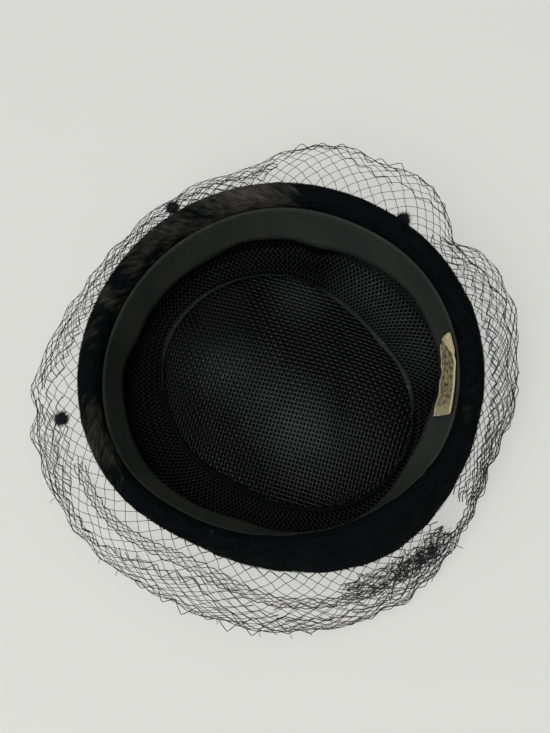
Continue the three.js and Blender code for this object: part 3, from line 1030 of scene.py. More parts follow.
def make_side_lining():
    sections = BIAS_THREADS * 2
    azimuth = np.arange(sections) * 360 / sections
    skin = place_sections(azimuth, even_steps(side_lining_path(azimuth), BIAS_STEPS))
    normals = surface_normals(skin)
    threads = Threads()
    place = np.arange(BIAS_STEPS + 1)
    for way in (1, -1):
        weave = way * WEAVE_LIFT * np.cos(np.pi * place / 2)
        for k in range(BIAS_THREADS):
            drift = 2 * k + way * place / 2
            low = np.floor(drift).astype(int)
            part = (drift - low)[:, None]
            line = skin[low % sections, place] * (1 - part) + skin[(low + 1) % sections, place] * part
            up = normals[low % sections, place]
            threads.add(line + up * weave[:, None], up)
    sizes = {**LINING_SIZES, "Sides": 3}
    return grow("lining_side_weave", SIDE_TREE, threads.guide("side_threads"), sizes)


def tip_height(x, y):
    """Height of the tip's soft dome at a place."""
    azimuth = np.degrees(np.arctan2(y, x)) % 360
    share = np.hypot(x, y) / seam_at(azimuth)
    fuller = 1 + TIP_LOPSIDED * share * np.cos(np.radians(azimuth - TIP_FULLEST))
    return SEAM_HEIGHT - TIP_SETBACK + TIP_DOME * (1 - share**2) * fuller


def make_tip_threads(way, name):
    """One family of the tip's threads: the weft for way 0, and the warp across it for way 1."""
    cos, sin = math.cos(TIP_TURN), math.sin(TIP_TURN)
    pitch, cross_pitch = TIP_PITCHES[way], TIP_PITCHES[1 - way]
    half, cross_half = int(TIP_REACH / pitch), int(TIP_REACH / cross_pitch)
    step = np.arange(-2 * cross_half, 2 * cross_half + 1) / 2
    threads = Threads()
    for k in range(-half, half + 1):
        along, across = step * cross_pitch, np.full_like(step, k * pitch)
        bow = TIP_BOW * np.sin(across * TIP_BOW_RATES[0] + along * TIP_BOW_RATES[1] + way)
        u, v = (along, across + bow) if way == 0 else (across + bow, along)
        x, y = u * cos - v * sin, u * sin + v * cos
        azimuth = np.degrees(np.arctan2(y, x)) % 360
        inside = np.hypot(x, y) < seam_at(azimuth) - TIP_MARGIN
        if inside.sum() < 3:
            continue
        weave = (1 if way else -1) * WEAVE_LIFT * np.cos(np.pi * (step + k))
        line = np.stack([x, y, tip_height(x, y) + weave], axis=-1)
        threads.add(line[inside])
    return grow(name, TIP_TREE, threads.guide(name + "_threads"), LINING_SIZES)


dress(make_side_lining(), "lining_net", "lining_side")
dress(make_tip_threads(1, "lining_tip_weave"), "lining_net", "lining_tip")
dress(make_tip_threads(0, "lining_tip_weft"), "lining_net")

# %% [markdown]
# ## The lining's seam
# Tip and side meet in a seam: both edges are turned up into a low flat ridge, bound over with thread.
# A plain tube would look like piping, so its section swells and narrows once for each turn of the
# binding. A row of stitches runs along it, and another holds the top of the sweatband. A stitch is
# a tiny bead, and one tree sets them along any line. A noise paints them between a shadow and a light
# tone, as painted shade and light, so they show only in places.

# %% Seam and stitches
BINDING_PITCH = 0.0013
BINDING_SWELL = 0.07
SAMPLES_TO_A_TURN = 5
SEAM_SIDES = 10
SEAM_WIDTH = 0.0027
SEAM_CREST = 0.0013
SEAM_UNEVEN = 0.10
SEAM_SETBACK = 0.0005
SEAM_STRAY = 0.0005
SEAM_WANDER = 0.0004
# Painted shadow and painted light of the stitches, which a noise mixes
STITCH_SHADOW = (0.006, 0.008, 0.008, 1)
STITCH_LIGHT = (0.078, 0.086, 0.084, 1)
STITCH_LIFT = 0.0002
STITCH_STRAY = 0.0003
STITCH_SIZES = {"Pitch": 0.0019, "Radius": 0.00020, "Reach": 0.00055}
# First and last azimuth of each stretch of stitches that shows, on the band's top edge and the ridge
BAND_STITCHES = ((92, 166), (176, 184), (196, 214), (318, 336))
SEAM_STITCHES = ((88, 176), (-36, 34))


def seam_wander(azimuth):
    """How far the ridge rises and falls as it goes round."""
    return SEAM_WANDER * ripple(azimuth, 9, 4)


def make_seam():
    turns = round(2 * math.pi * SEAM_MEAN / BINDING_PITCH)
    samples = turns * SAMPLES_TO_A_TURN
    azimuth = np.arange(samples) * 360 / samples
    binding = BINDING_SWELL * np.cos(np.radians(azimuth) * turns)
    swelling = 1 + binding + SEAM_UNEVEN * ripple(azimuth, 24, 9)
    radius = seam_at(azimuth) - SEAM_SETBACK
    angle = np.radians(np.arange(SEAM_SIDES) * 360 / SEAM_SIDES)
    across = np.multiply.outer(swelling * SEAM_WIDTH / 2, np.cos(angle)) + radius[:, None]
    crest = SEAM_HEIGHT + SEAM_CREST / 2 + seam_wander(azimuth)
    height = np.multiply.outer(swelling * SEAM_CREST / 2, np.sin(angle)) + crest[:, None]
    section = np.stack([across, height], axis=-1)
    return loft("lining_seam", place_sections(azimuth, section), material=SEAM_CLOTH)


def stitch_finish():
    material, bench, place = start_finish("stitching thread")
    shade = bench.noise(place, 220, 2.0)
    share = bench.clamped((shade - 0.35) * 3.0)
    colour = bench.colours(share, STITCH_SHADOW, STITCH_LIGHT)
    end_finish(bench, colour, 0.5 + shade * 0.2, shade, 0.00005)
    return material


def stitch_tree(material, sizes):
    bench, wires = start_growth("row of stitches", sizes)
    curve = bench.node("GeometryNodeMeshToCurve", None, {"Mesh": wires["Source"]})
    points = bench.node(
        "GeometryNodeCurveToPoints", {"mode": "LENGTH"}, {"Curve": curve, "Length": wires["Pitch"]}
    )
    bead = bench.node("GeometryNodeMeshIcoSphere", None, {"Radius": 1.0, "Subdivisions": 1})
    radius = wires["Radius"]
    size = bench.node("ShaderNodeCombineXYZ", None, {0: radius, 1: radius, 2: wires["Reach"]})
    sewn = bench.node(
        "GeometryNodeInstanceOnPoints",
        None,
        {"Points": points, "Instance": bead, "Rotation": points.beside("Rotation"), "Scale": size},
    )
    end_growth(bench, sewn, material)
    return bench.tree


STITCHES = stitch_tree(stitch_finish(), STITCH_SIZES)


def sew(name, line_of, spans):
    """A row of stitches over each span, on the line that line_of(first, last) gives."""
    rows = Threads()
    for span in spans:
        rows.add(line_of(*span))
    return grow(name, STITCHES, rows.guide(name + "_rows"), STITCH_SIZES)


def band_stitch_line(first, last):
    azimuth = np.linspace(first, last, 60)
    height = HAT_HEIGHT - BAND_DROP + STITCH_LIFT + STITCH_STRAY * ripple(azimuth, 60, 8)
    return at(azimuth, head_at(azimuth) - STITCH_LIFT, height)


def seam_stitch_line(first, last):
    azimuth = np.linspace(first, last, 160)
    radius = seam_at(azimuth) - SEAM_SETBACK - SEAM_WIDTH * 0.2 + SEAM_STRAY * ripple(azimuth, 90, 12)
    return at(azimuth, radius, SEAM_HEIGHT + SEAM_CREST * 0.95 + seam_wander(azimuth))


dress(sew("band_stitches", band_stitch_line, BAND_STITCHES), "grosgrain")
dress(make_seam(), "lining_net")
dress(sew("seam_stitches", seam_stitch_line, SEAM_STITCHES), "lining_net")

# %% [markdown]
# ## The label
# A short woven ribbon, tan with paler selvedges, is sewn to the sweatband. It is kinked in the middle,
# its upper end is turned over in a triangle that shows the plain back, and its lower end frays. Its
# finish reads a place that the mesh carries, in millimetres along and across it.

# %% Label
LABEL_LENGTH = 0.040
LABEL_WIDTH = 0.0185
LABEL_WALL = 0.0005
LABEL_AZIMUTH = -3.2
LABEL_SETBACK = 0.0022
# Share of the length from the frayed end, how far down the band the upper selvedge lies, and the width
LABEL_LINE = (
    (0, -0.0004, 0.0150),
    (0.2, 0.0000, 0.0166),
    (0.50, -0.0006, 0.0178),
    (0.66, -0.0026, 0.0178),
    (0.71, -0.0026, 0.0176),
    (0.86, -0.0014, 0.0160),
    (1, -0.0012, 0.0150),
)
# The kink's place and width as shares of the length, and how far it stands off, in metres
LABEL_KINK = (0.69, 0.05, 0.0008)
LABEL_WAVE = 0.0003
LABEL_LIFT = 0.0001
FOLD_LENGTH = 0.0120
FRAY_RADIUS = 0.00013
# The finish works in millimetres
LABEL_HALF_MM = LABEL_WIDTH * 500
LABEL_BORDER_MM = 2.0
LABEL_THREADS_MM = 2.2
BACK_BORDER_MM = 0.4
WORN_END_MM = 7.0
SELVEDGE_TAN = (0.58, 0.51, 0.33, 1)
FRONT_TANS = ((0.048, 0.037, 0.013, 1), (0.390, 0.340, 0.170, 1))
BACK_TANS = ((0.55, 0.44, 0.22, 1), (0.78, 0.66, 0.38, 1))


def label_finish(name, ground, light, border):
    material, bench, place = start_finish(name)
    spot = bench.node("ShaderNodeAttribute", {"attribute_name": "ribbon_place"}, output="Vector")
    parts = bench.node("ShaderNodeSeparateXYZ", None, {0: spot})
    along, across = parts, parts.beside("Y")
    ribs = bench.maths("SINE", along * (2 * math.pi * LABEL_THREADS_MM))
    picks = bench.maths("SINE", across * (2 * math.pi * LABEL_THREADS_MM))
    weave = ribs * picks * 0.5 + 0.5
    middle = bench.maths("ABSOLUTE", across - LABEL_HALF_MM)
    selvedge = bench.clamped((middle - (LABEL_HALF_MM - border)) * 2.5)
    soil = bench.noise(place, 400, 3.0)
    worn_end = bench.clamped(1.0 - along / WORN_END_MM)
    body = bench.colours(bench.clamped(weave * 0.35 + (soil - 0.41) * 3.4 + worn_end * 0.8), ground, light)
    colour = bench.colours(bench.clamped(selvedge * (0.55 + soil * 0.9)), body, SELVEDGE_TAN)
    end_finish(bench, colour, 0.65 + soil * 0.2, weave, 0.00015)
    return material


LABEL_CLOTH = label_finish("woven label", *FRONT_TANS, LABEL_BORDER_MM)
LABEL_BACK = label_finish("label turned over", *BACK_TANS, BACK_BORDER_MM)


def label_line(share, column):
    shares, *columns = zip(*LABEL_LINE)
    return np.interp(share, shares, columns[column])


def on_band(share, part, lift):
    """A place on the sweatband's inner face, from shares of the label's length and width."""
    azimuth = LABEL_AZIMUTH + np.degrees((share - 0.5) * LABEL_LENGTH / HEAD_RADIUS)
    across = LABEL_SETBACK + label_line(share, 0) + part * label_line(share, 1)
    ends = band_path(azimuth.ravel(), np.array([0.0, 1.0])).reshape(*azimuth.shape, 2, 2)
    down = ends[..., 0, :] - ends[..., 1, :]
    down /= np.linalg.norm(down, axis=-1, keepdims=True)
    inwards = np.stack([down[..., 1], -down[..., 0]], axis=-1)
    spot = ends[..., 1, :] + down * across[..., None]
    spot = spot + inwards * (BAND_WALL / 2 + 2 * SEAT + lift)[..., None]
    return at(azimuth, spot[..., 0], spot[..., 1])


def ribbon_patch(name, share, part, lift, material):
    """A thin closed slab over a grid of places on the band."""
    front = on_band(share, part, lift + LABEL_WALL)[::-1]
    back = on_band(share, part, lift)[::-1]
    points = np.concatenate([front, back[:, ::-1]], axis=1)
    spots = np.stack([share * LABEL_LENGTH, part * LABEL_WIDTH, np.zeros_like(share)], axis=-1)[::-1] * 1000
    places = np.concatenate([spots, spots[:, ::-1]], axis=1)
    piece = loft(name, points, ring=False, material=material, attributes={"ribbon_place": places})
    work = bmesh.new()
    work.from_mesh(piece.data)
    bmesh.ops.holes_fill(work, edges=[edge for edge in work.edges if edge.is_boundary])
    bmesh.ops.recalc_face_normals(work, faces=work.faces)
    work.to_mesh(piece.data)
    work.free()
    return piece


def make_label():
    share, part = np.meshgrid(np.linspace(0, 1, 61), np.linspace(0, 1, 25), indexing="ij")
    kink_place, kink_width, kink_lift = LABEL_KINK
    kink = kink_lift * np.exp(-(((share - kink_place) / kink_width) ** 2))
    wave = LABEL_WAVE * (1 + np.sin(share * 17) * part)
    fray = np.where(share < 0.01, 0.022 * np.abs(np.sin(part * 37)) - 0.008 * np.cos(part * 11), 0)
    corner = 0.10 * np.clip(part - 0.55, 0, 1) * (share > 0.99)
    lift = kink + wave + LABEL_LIFT
    label = ribbon_patch("label_ribbon", share - fray - corner, part, lift, LABEL_CLOTH)
    return dress(label, "woven_label", "label")


def make_label_fold():
    """The end that is turned over: a triangle that narrows down the upper selvedge."""
    run, part = np.meshgrid(np.linspace(0, 1, 17), np.linspace(0, 1, 13), indexing="ij")
    share = 0.995 - run * FOLD_LENGTH / LABEL_LENGTH
    reach = 0.04 + 0.62 * (1 - run) * (1 - 0.12 * np.sin(np.pi * run))
    lift = LABEL_WALL + 0.0007 + 0.0005 * np.sin(np.pi * part) * (1 - run)
    return dress(ribbon_patch("label_fold", share, part * reach, lift, LABEL_BACK), "woven_label")


def make_frayed_ends():
    """Warp threads that stand out of the cut lower end."""
    draw = np.random.default_rng(14)
    threads = Threads()
    for part in np.linspace(0.04, 0.96, 17):
        length, bend = draw.uniform(0.02, 0.05), draw.normal(0, 0.02)
        t = np.linspace(0, 1, 5)
        line = on_band(0.012 - length * t, part + bend * t**2, LABEL_WALL * (1 + t))
        threads.add(line, thickness=draw.uniform(0.6, 1.1))
    sizes = {**THREAD_SIZES, "Radius": FRAY_RADIUS}
    return grow("label_fray", FRAY_TREE, threads.guide("fray_threads"), sizes)


FRAY_TREE = thread_tree(LABEL_BACK, THREAD_SIZES)
label = make_label()
label_fold = make_label_fold()
label_fray = dress(make_frayed_ends(), "woven_label")

# %% [markdown]
# ## The veil
# The veil is a strip of diamond netting, tacked to the side under the roll, puffed out, and folded
# back towards the table. Its threads run slantwise both ways and are tied where they cross. The net
# is worked out as knots on the same curved surface as the CAD veil, on a grid of half steps, so each
# thread visits its knots in turn and bends a little between them. The last step of each thread is
# thicker, as if doubled, and these steps make the thick zigzag that a net ends in.

# %% Veil surface
VEIL_PUFF = 0.028
VEIL_TOP = 0.043
VEIL_SHOULDER = 0.9
TACK_GAP = 0.0004
HEM_HEIGHT = 0.0012
HEM_TUCK = 0.002
LOWEST = 0.0004
VEIL_RUMPLE = 0.0011
VEIL_LOBES = 46
# Azimuth, half width in degrees, and how much further out the net reaches there, in metres
PUFFS = ((80, 8, 0.0050), (101, 7, -0.0042), (40, 8, -0.0105), (20, 7, 0.0022), (340, 8, -0.0020))
# Where the net is tacked lower down the side: azimuth, half width in degrees, and how much lower
LOW_TACK = (298, 34, 0.021)


def veil_at(azimuth, share, puffs=PUFFS, fullness=1.0, drop=0.0, rumple=VEIL_RUMPLE, seed=21):
    """The veil's surface, from its tacked edge at share 0 out, over and back to its hem at share 1. Its
    section is a curve of four points, and the middle two lie so far out that it meets the reach."""
    top = VEIL_TOP - drop - LOW_TACK[2] * swell(azimuth, *LOW_TACK[:2])
    tack = wall_at(azimuth, top) + TACK_GAP
    puff = VEIL_PUFF * around("puff", azimuth) + sum(gain * swell(azimuth, *spot) for *spot, gain in puffs)
    waves = rumple * ripple(azimuth, VEIL_LOBES, seed) * np.sin(np.pi * share)
    reach = rim_at(azimuth) + puff * fullness + waves
    hem = rim_at(azimuth) - HEM_TUCK + VEIL_PUFF * around("hem", azimuth)
    outside = (reach - (tack + hem) / 8) / 0.75
    rest = 1 - share
    b0, b1, b2, b3 = rest**3, 3 * share * rest**2, 3 * share**2 * rest, share**3
    radius = b0 * tack + (b1 + b2) * outside + b3 * hem
    height = (b0 + VEIL_SHOULDER * b1) * top + (b2 + b3) * HEM_HEIGHT
    return at(azimuth, radius, np.maximum(height, LOWEST))


def veil_normal(azimuth, share):
    round_way = veil_at(azimuth + 1, share) - veil_at(azimuth - 1, share)
    along = veil_at(azimuth, share + 0.02) - veil_at(azimuth, share - 0.02)
    normal = np.cross(along, round_way)
    return normal / np.linalg.norm(normal, axis=-1, keepdims=True)


print("Middle of the veil at each quarter:", np.round(veil_at(np.arange(4) * 90.0, 0.5), 4).tolist())

# %% [markdown]
# The net isn't stretched evenly: its diamonds are wide at the lower left and crowded at the right.
# A table of pitches is added up once round, and read backwards to find where each column lies. The
# rows crowd towards the fold, because the cloth turns away there. A second table says how far the
# net goes on past the fold: where the photograph shows one layer it ends at the fold.

# %% Nets
NET_COLUMNS = 92
NET_ROWS = 26
ROW_EASE = 0.75
STRAND_RADIUS = 0.000148
KNOT_RADIUS = 0.00024
NET_SIZES = {"Radius": STRAND_RADIUS, "Flatness": 1.0, "Sides": 4, "Knot": KNOT_RADIUS}
SELVEDGE = 1.7
# Points from one knot of a thread to the next, and how far the thread bends between them, in slots
BENDS = 4
BEND = 0.03
WOBBLE = 0.11
EDGE_MARGIN = 0.01
# First and last azimuth of the place where the net is torn, and the share that it is torn down to
TEAR = (316, 325, 0.28)
# Azimuth and the net's pitch round the hat there, in degrees
PITCHES = (
    *((0, 4.3), (20, 4.7), (60, 4.25), (100, 4.1), (160, 4.2), (190, 4.6), (215, 4.9)),
    *((245, 5.2), (265, 4.9), (290, 4.2), (315, 3.7), (335, 3.5), (350, 3.8), (360, 4.3)),
)
# Azimuth and the share of the section where the net's free edge lies
FREE_EDGE = (
    *((0, 0.87), (20, 0.85), (32, 0.86), (38, 0.72), (42, 0.50), (47, 0.44), (60, 0.42), (86, 0.42)),
    *((93, 0.56), (103, 0.62), (140, 0.64), (150, 0.70), (166, 0.76), (172, 0.67), (181, 0.60)),
    *((184, 0.90), (195, 0.90), (200, 0.79), (206, 0.74), (217, 0.73), (224, 0.83), (238, 0.87)),
    *((246, 0.93), (252, 0.96), (258, 0.88), (266, 0.84), (275, 0.80), (330, 0.82), (345, 0.90)),
    (360, 0.87),
)


def read_table(table, azimuth):
    return np.interp(np.asarray(azimuth) % 360, *zip(*table))


def column_turns(columns):
    """A function from a half column's number to its azimuth, following the table of pitches."""
    turn = np.linspace(0, 360, 721)
    counted = np.concatenate([[0], np.cumsum(0.5 / read_table(PITCHES, (turn[1:] + turn[:-1]) / 2))])
    counted *= 2 * columns / counted[-1]

    def turn_of(slot):
        rounds, part = np.divmod(slot, 2 * columns)
        return 360 * rounds + np.interp(part, counted, turn)

    return turn_of


def eased_share(depth):
    """The share of the section that a row lies at, for its number as a part of all the rows."""
    from_fold = 2 * depth - 1
    return 0.5 + 0.5 * np.sign(from_fold) * np.abs(from_fold) ** ROW_EASE


def runs_of(kept):
    """First and last place of each unbroken stretch of True."""
    edges = np.flatnonzero(np.diff(np.concatenate([[False], kept, [False]]).astype(int)))
    return zip(edges[::2], edges[1::2])


def tie_net(threads, columns, rows, place, kept, wobble=WOBBLE, seed=21):
    """Threads of a diamond net, placed by place(turn, depth) where kept(turn, depth) is true."""
    draw = np.random.default_rng(seed)
    turn_of = column_turns(columns)
    nudge_round = draw.normal(0, wobble, (rows + 1, 2 * columns))
    nudge_down = draw.normal(0, wobble, (rows + 1, 2 * columns))
    row = np.arange(rows + 1)
    fine = np.arange(BENDS * rows + 1) / BENDS
    for way in (1, -1):
        for column in range(columns):
            slot = 2 * column + way * row
            own = slot % (2 * columns)
            spot = np.interp(fine, row, slot + nudge_round[row, own])
            down = np.interp(fine, row, row + nudge_down[row, own])
            spot = spot + way * BEND * np.sin(2 * np.pi * fine) + BEND * np.sin(np.pi * fine) ** 2
            turn, depth = turn_of(spot), np.clip(down / rows, 0, 1)
            at_knots = np.repeat(kept(turn[::BENDS], depth[::BENDS]), BENDS)[: len(fine)]
            for first, last in runs_of(at_knots):
                if last - first < BENDS:
                    continue
                stretch = slice(first, min(last + 1, len(fine)))
                line = place(turn[stretch], depth[stretch])
                steps = np.arange(len(line))
                ends = np.minimum(steps, len(line) - 1 - steps) < BENDS
                tied = ((fine[stretch] % 1 == 0) & (way == 1)).astype(float)
                threads.add(line, thickness=np.where(ends, SELVEDGE, 1.0), knot=tied)


def zigzag(threads, places, pitch, reach, flare, thickness, seed):
    """A doubled thread in zigzags along a line, given by a few azimuths and shares of the section. Its
    corners lie up and down the section by the reach, and in and out of it by the flare."""
    azimuths, shares = zip(*places)
    draw = np.random.default_rng(seed)
    count = int((azimuths[-1] - azimuths[0]) / pitch * 2)
    corner = np.linspace(azimuths[0], azimuths[-1], count)
    sway = np.where(np.arange(count) % 2, 1, -1) + draw.normal(0, 0.2, count)
    fine = np.linspace(azimuths[0], azimuths[-1], BENDS * count)
    sway = np.interp(fine, corner, sway)
    share = np.interp(fine, azimuths, shares) + sway * reach
    line = veil_at(fine, np.clip(share, 0, 1), fullness=1 + sway * flare, seed=seed)
    threads.add(line, thickness=thickness, knot=np.arange(BENDS * count) % BENDS == 0)


def make_veil():
    threads = Threads()

    def place(turn, depth):
        return veil_at(turn, eased_share(depth))

    def kept(turn, depth):
        share = eased_share(depth)
        torn = (turn % 360 > TEAR[0]) & (turn % 360 < TEAR[1]) & (share < TEAR[2])
        return (share <= read_table(FREE_EDGE, turn) + EDGE_MARGIN) & ~torn

    tie_net(threads, NET_COLUMNS, NET_ROWS, place, kept)
    return grow("veil_net", VEILING_TREE, threads.guide("net_threads"), NET_SIZES)


print("Free edge at 0, 60, 215 and 300 degrees:", read_table(FREE_EDGE, (0, 60, 215, 300)).tolist())

# %% [markdown]
# Other parts of the same strip lie in or on the first layer: its crumpled hem on the table at the
# lower left, a second layer at the right and along the upper left, and the doubled edges where it
# was folded over. They are nets and zigzags of the same kind, over a part of the round each.

# %% Folds of the veil
# First and last azimuth, first and last share, fullness, columns to the round, rows, wobble
FOLDED_NETS = (
    (326, 402, 0.12, 0.50, 0.80, 92, 6, 0.14),
    (92, 178, 0.14, 0.50, 0.90, 96, 6, 0.14),
    (182, 206, 0.22, 0.50, 0.94, 88, 5, 0.12),
    (268, 316, 0.22, 0.52, 0.84, 80, 4, 0.16),
)
# Thickness, pitch, reach, flare, and the azimuths and shares that a doubled edge follows
FOLDED_EDGES = (
    (1.5, 4.3, 0.018, 0.02, ((43, 0.40), (47, 0.30), (52, 0.22), (56, 0.20), (60, 0.27), (66, 0.32))),
    (1.5, 4.3, 0.012, 0.02, ((60, 0.20), (66, 0.21), (71, 0.25), (75, 0.29), (82, 0.32), (89, 0.30))),
    (1.4, 4.3, 0.022, 0.02, ((92, 0.20), (105, 0.24), (118, 0.22), (130, 0.24), (146, 0.22))),
    (1.6, 4.6, 0.015, 0.03, ((183, 0.14), (195, 0.19), (203, 0.30), (210, 0.33), (220, 0.33), (226, 0.28))),
    (1.5, 5.0, 0.020, 0.05, ((226, 0.28), (240, 0.20), (249, 0.17), (254, 0.30), (262, 0.36), (276, 0.44))),
    (1.5, 4.9, 0.010, 0.09, ((232, 0.50), (246, 0.50), (268, 0.50))),
    (1.4, 4.4, 0.022, 0.05, ((268, 0.62), (285, 0.66), (300, 0.62), (314, 0.55))),
    (1.5, 4.2, 0.016, 0.05, ((318, 0.44), (328, 0.47), (342, 0.50), (362, 0.50))),
    (1.5, 4.3, 0.010, 0.06, ((46, 0.46), (66, 0.46), (88, 0.46))),
    (1.4, 3.4, 0.030, 0.03, ((336, 0.80), (350, 0.90), (362, 0.88), (380, 0.86))),
)
FOLD_DROP = 0.003
# Azimuth, share and length in millimetres of a loose cut end
CUT_ENDS_OF_NET = (
    (205, 0.46, 4),
    (223, 0.46, 3),
    (228, 0.46, 3.5),
    (254, 0.5, 2.5),
    (264, 0.5, 3),
    (271, 0.48, 4.5),
)
HEM_COLUMNS = 118
HEM_ROWS = 6
HEM_WOBBLE = 0.2
HEM_SPAN = (196, 296)
# The share at which the hem's net starts, how much of the section it takes, and its rumple and waves
HEM_SHARE = 0.935
HEM_DEPTH = 0.08
HEM_RUMPLE = 0.003
HEM_WAVE = 0.0010


def hem_place(turn, depth):
    """The hem lies crumpled on the table, so its rows rise and fall."""
    line = veil_at(turn, HEM_SHARE + HEM_DEPTH * depth, rumple=HEM_RUMPLE, seed=24)
    line[:, 2] = HEM_HEIGHT + HEM_WAVE * (1 + ripple(turn, 60, 25) * np.sin(7 * depth))
    line[:, 2] = np.maximum(line[:, 2], LOWEST)
    return line


def make_folds():
    threads = Threads()
    for seed, (first, last, start, end, fullness, columns, rows, wobble) in enumerate(FOLDED_NETS, 40):

        def place(turn, depth):
            share = start + (end - start) * depth
            return veil_at(turn, share, fullness=fullness, drop=FOLD_DROP, seed=seed)

        def kept(turn, depth):
            return (turn - first) % 360 < last - first

        tie_net(threads, columns, rows, place, kept, wobble, seed)
    for seed, (thickness, pitch, reach, flare, places) in enumerate(FOLDED_EDGES, 50):
        zigzag(threads, places, pitch, reach, flare, thickness, seed)

    def on_hem(turn, depth):
        return (turn % 360 > HEM_SPAN[0]) & (turn % 360 < HEM_SPAN[1])

    tie_net(threads, HEM_COLUMNS, HEM_ROWS, hem_place, on_hem, HEM_WOBBLE, 60)
    for azimuth, share, length in CUT_ENDS_OF_NET:
        start = veil_at(np.array([azimuth, azimuth + 0.2]), np.array([share, share]))
        out = start[0] / np.linalg.norm(start[0]) * length / 1000
        t = np.linspace(0, 1, 5)[:, None]
        threads.add(start[0] + out * t + (start[1] - start[0]) * 3 * t**2)
    return grow("veil_under_layer", VEILING_TREE, threads.guide("fold_threads"), NET_SIZES)


dress(make_veil(), "veiling", "veil")
dress(make_folds(), "veiling")

# %% [markdown]
# ## The gathered bunch
# Where the strip of netting ends, it is bunched and sewn to the side: a dense tangle round a few hard
# knots, with loops and cut ends standing out of it. Curves alone would look like wool. Crumpled net
# keeps straight strands between knots that lie anyhow, so scraps of it are made with scattered knots.

# %% Bunch
GATHER_LENGTH = 0.046
GATHER_WIDTH = 0.0125
GATHER_HEIGHT = 0.022
GATHER_AZIMUTH = 303
GATHER_LIFT = 0.009
BUNCH_SAG = 0.006
BUNCH_SPREAD = 0.0052
BUNCH_LAYERS = 2
BUNCH_COLUMNS = 19
BUNCH_ROWS = 8
BUNCH_ENDS = 34
BUNCH_LOOPS = 7
WANDER_STEPS = 26
# How far a scrap's knots are thrown along the bunch, out of it and up in it, and where it thins out
SCRAP_THROW = (0.045, 0.12, 0.17)
SCRAP_SPAN = (-0.50, 0.66)
SCRAP_TIP = 0.72
# Where the net is sewn hardest: along, out and up in the bunch, spread, threads
BUNCH_KNOTS = ((-0.30, 0.12, 0.0, 0.07, 4), (-0.17, 0.06, 0.0, 0.09, 4), (0.02, 0.05, 0.0, 0.12, 3))
# A knot's spread along the bunch, out of it and up in it, as shares of the number above
BUNCH_SPREADS = (1.0, 3.2, 2.0)


def in_bunch(along, out, up):
    """A place in the bunch: along its length, out from the hat and up, each from -0.5 to 0.5."""
    azimuth = GATHER_AZIMUTH - np.degrees(along * GATHER_LENGTH / (HEAD_RADIUS + ROLL_WIDTH))
    height = GATHER_LIFT + GATHER_HEIGHT * (0.5 + up) * 0.75 - BUNCH_SAG * (0.5 + out)
    radius = wall_at(azimuth, np.clip(height, *SIDE_HEIGHTS[::2])) + SEAT + GATHER_WIDTH * (0.5 + out)
    return at(azimuth, radius + BUNCH_SPREAD, np.maximum(height, LOWEST))


def wander(draw, steps, waves, size):
    """A smooth random walk between about -size and size."""
    t = np.linspace(0, 1, steps)
    turns = draw.uniform(1, waves, 4)
    starts = draw.uniform(0, 2 * np.pi, 4)
    return size * np.sin(2 * np.pi * np.multiply.outer(t, turns) + starts).sum(axis=1) / 2.4


def crumple(threads, draw):
    """A scrap of diamond net whose knots are thrown about, while its strands stay straight."""
    run = np.linspace(*SCRAP_SPAN, BUNCH_COLUMNS)[:, None]
    thin = np.sqrt(1 - (run / SCRAP_TIP) ** 2)
    shape = (BUNCH_COLUMNS, BUNCH_ROWS)
    far_along, far_out, far_up = SCRAP_THROW
    along = run + draw.normal(0, far_along, shape)
    out = (np.linspace(-0.40, 0.42, BUNCH_ROWS) + draw.normal(0, far_out, shape)) * thin
    up = draw.normal(0, far_up, shape) * thin
    row = np.arange(BUNCH_ROWS)
    for column in range(BUNCH_COLUMNS):
        for slot in (column + row // 2, column - (row + 1) // 2):
            inside = (slot >= 0) & (slot < BUNCH_COLUMNS)
            spots = (slot[inside], row[inside])
            if inside.sum() > 2:
                line = in_bunch(along[spots], out[spots], up[spots])
                threads.add(line, thickness=draw.uniform(0.9, 1.6), knot=1.0)


def wind_knots(threads, draw):
    """Threads wound hard round the places where the net is sewn."""
    for *middle, spread, count in BUNCH_KNOTS:
        for _ in range(count):
            reaches = [spread * share for share in BUNCH_SPREADS]
            spot = [c + wander(draw, WANDER_STEPS, 6, reach) for c, reach in zip(middle, reaches)]
            threads.add(in_bunch(*spot), thickness=draw.uniform(1.0, 1.6))


def cut_ends(threads, draw):
    """Short ends that stand out of the bunch."""
    for _ in range(BUNCH_ENDS):
        start = np.array([draw.uniform(-0.6, 0.6), draw.uniform(0.0, 0.5), draw.uniform(-0.3, 0.4)])
        step = np.array([draw.normal(0, 0.08), draw.uniform(0.1, 0.6), draw.normal(0, 0.2)])
        bend = draw.normal(0, 0.05, 3)
        t = np.linspace(0, 1, 7)[:, None]
        along, out, up = (start + step * t + bend * t**2).T
        threads.add(in_bunch(along, out, up), thickness=draw.uniform(0.8, 1.3))


def open_loops(threads, draw):
    """Loops that stand up from the bunch."""
    for _ in range(BUNCH_LOOPS):
        t = np.linspace(0, np.pi, 22)
        begin, span = draw.uniform(-0.3, 0.5), draw.uniform(0.1, 0.35)
        tall, wide = draw.uniform(0.1, 0.5), draw.uniform(-0.6, -0.1)
        along = begin - span * (1 - np.cos(t)) / 2
        threads.add(in_bunch(along, 0.1 + wide * np.sin(t), 0.2 + tall * np.sin(t)), thickness=1.0)


def make_bunch():
    draw = np.random.default_rng(77)
    threads = Threads()
    for _ in range(BUNCH_LAYERS):
        crumple(threads, draw)
    wind_knots(threads, draw)
    cut_ends(threads, draw)
    open_loops(threads, draw)
    return grow("gather_tangle", VEILING_TREE, threads.guide("bunch_threads"), NET_SIZES)


dress(make_bunch(), "veiling", "veil_gather")

# %% [markdown]
# ## The chenille dots
# Three fuzzy balls of plum chenille are fixed to the net. A ball is a lumpy core with a coat of short
# fibres, which the pile's tree can grow as well: here it keeps the core that it grows them on.

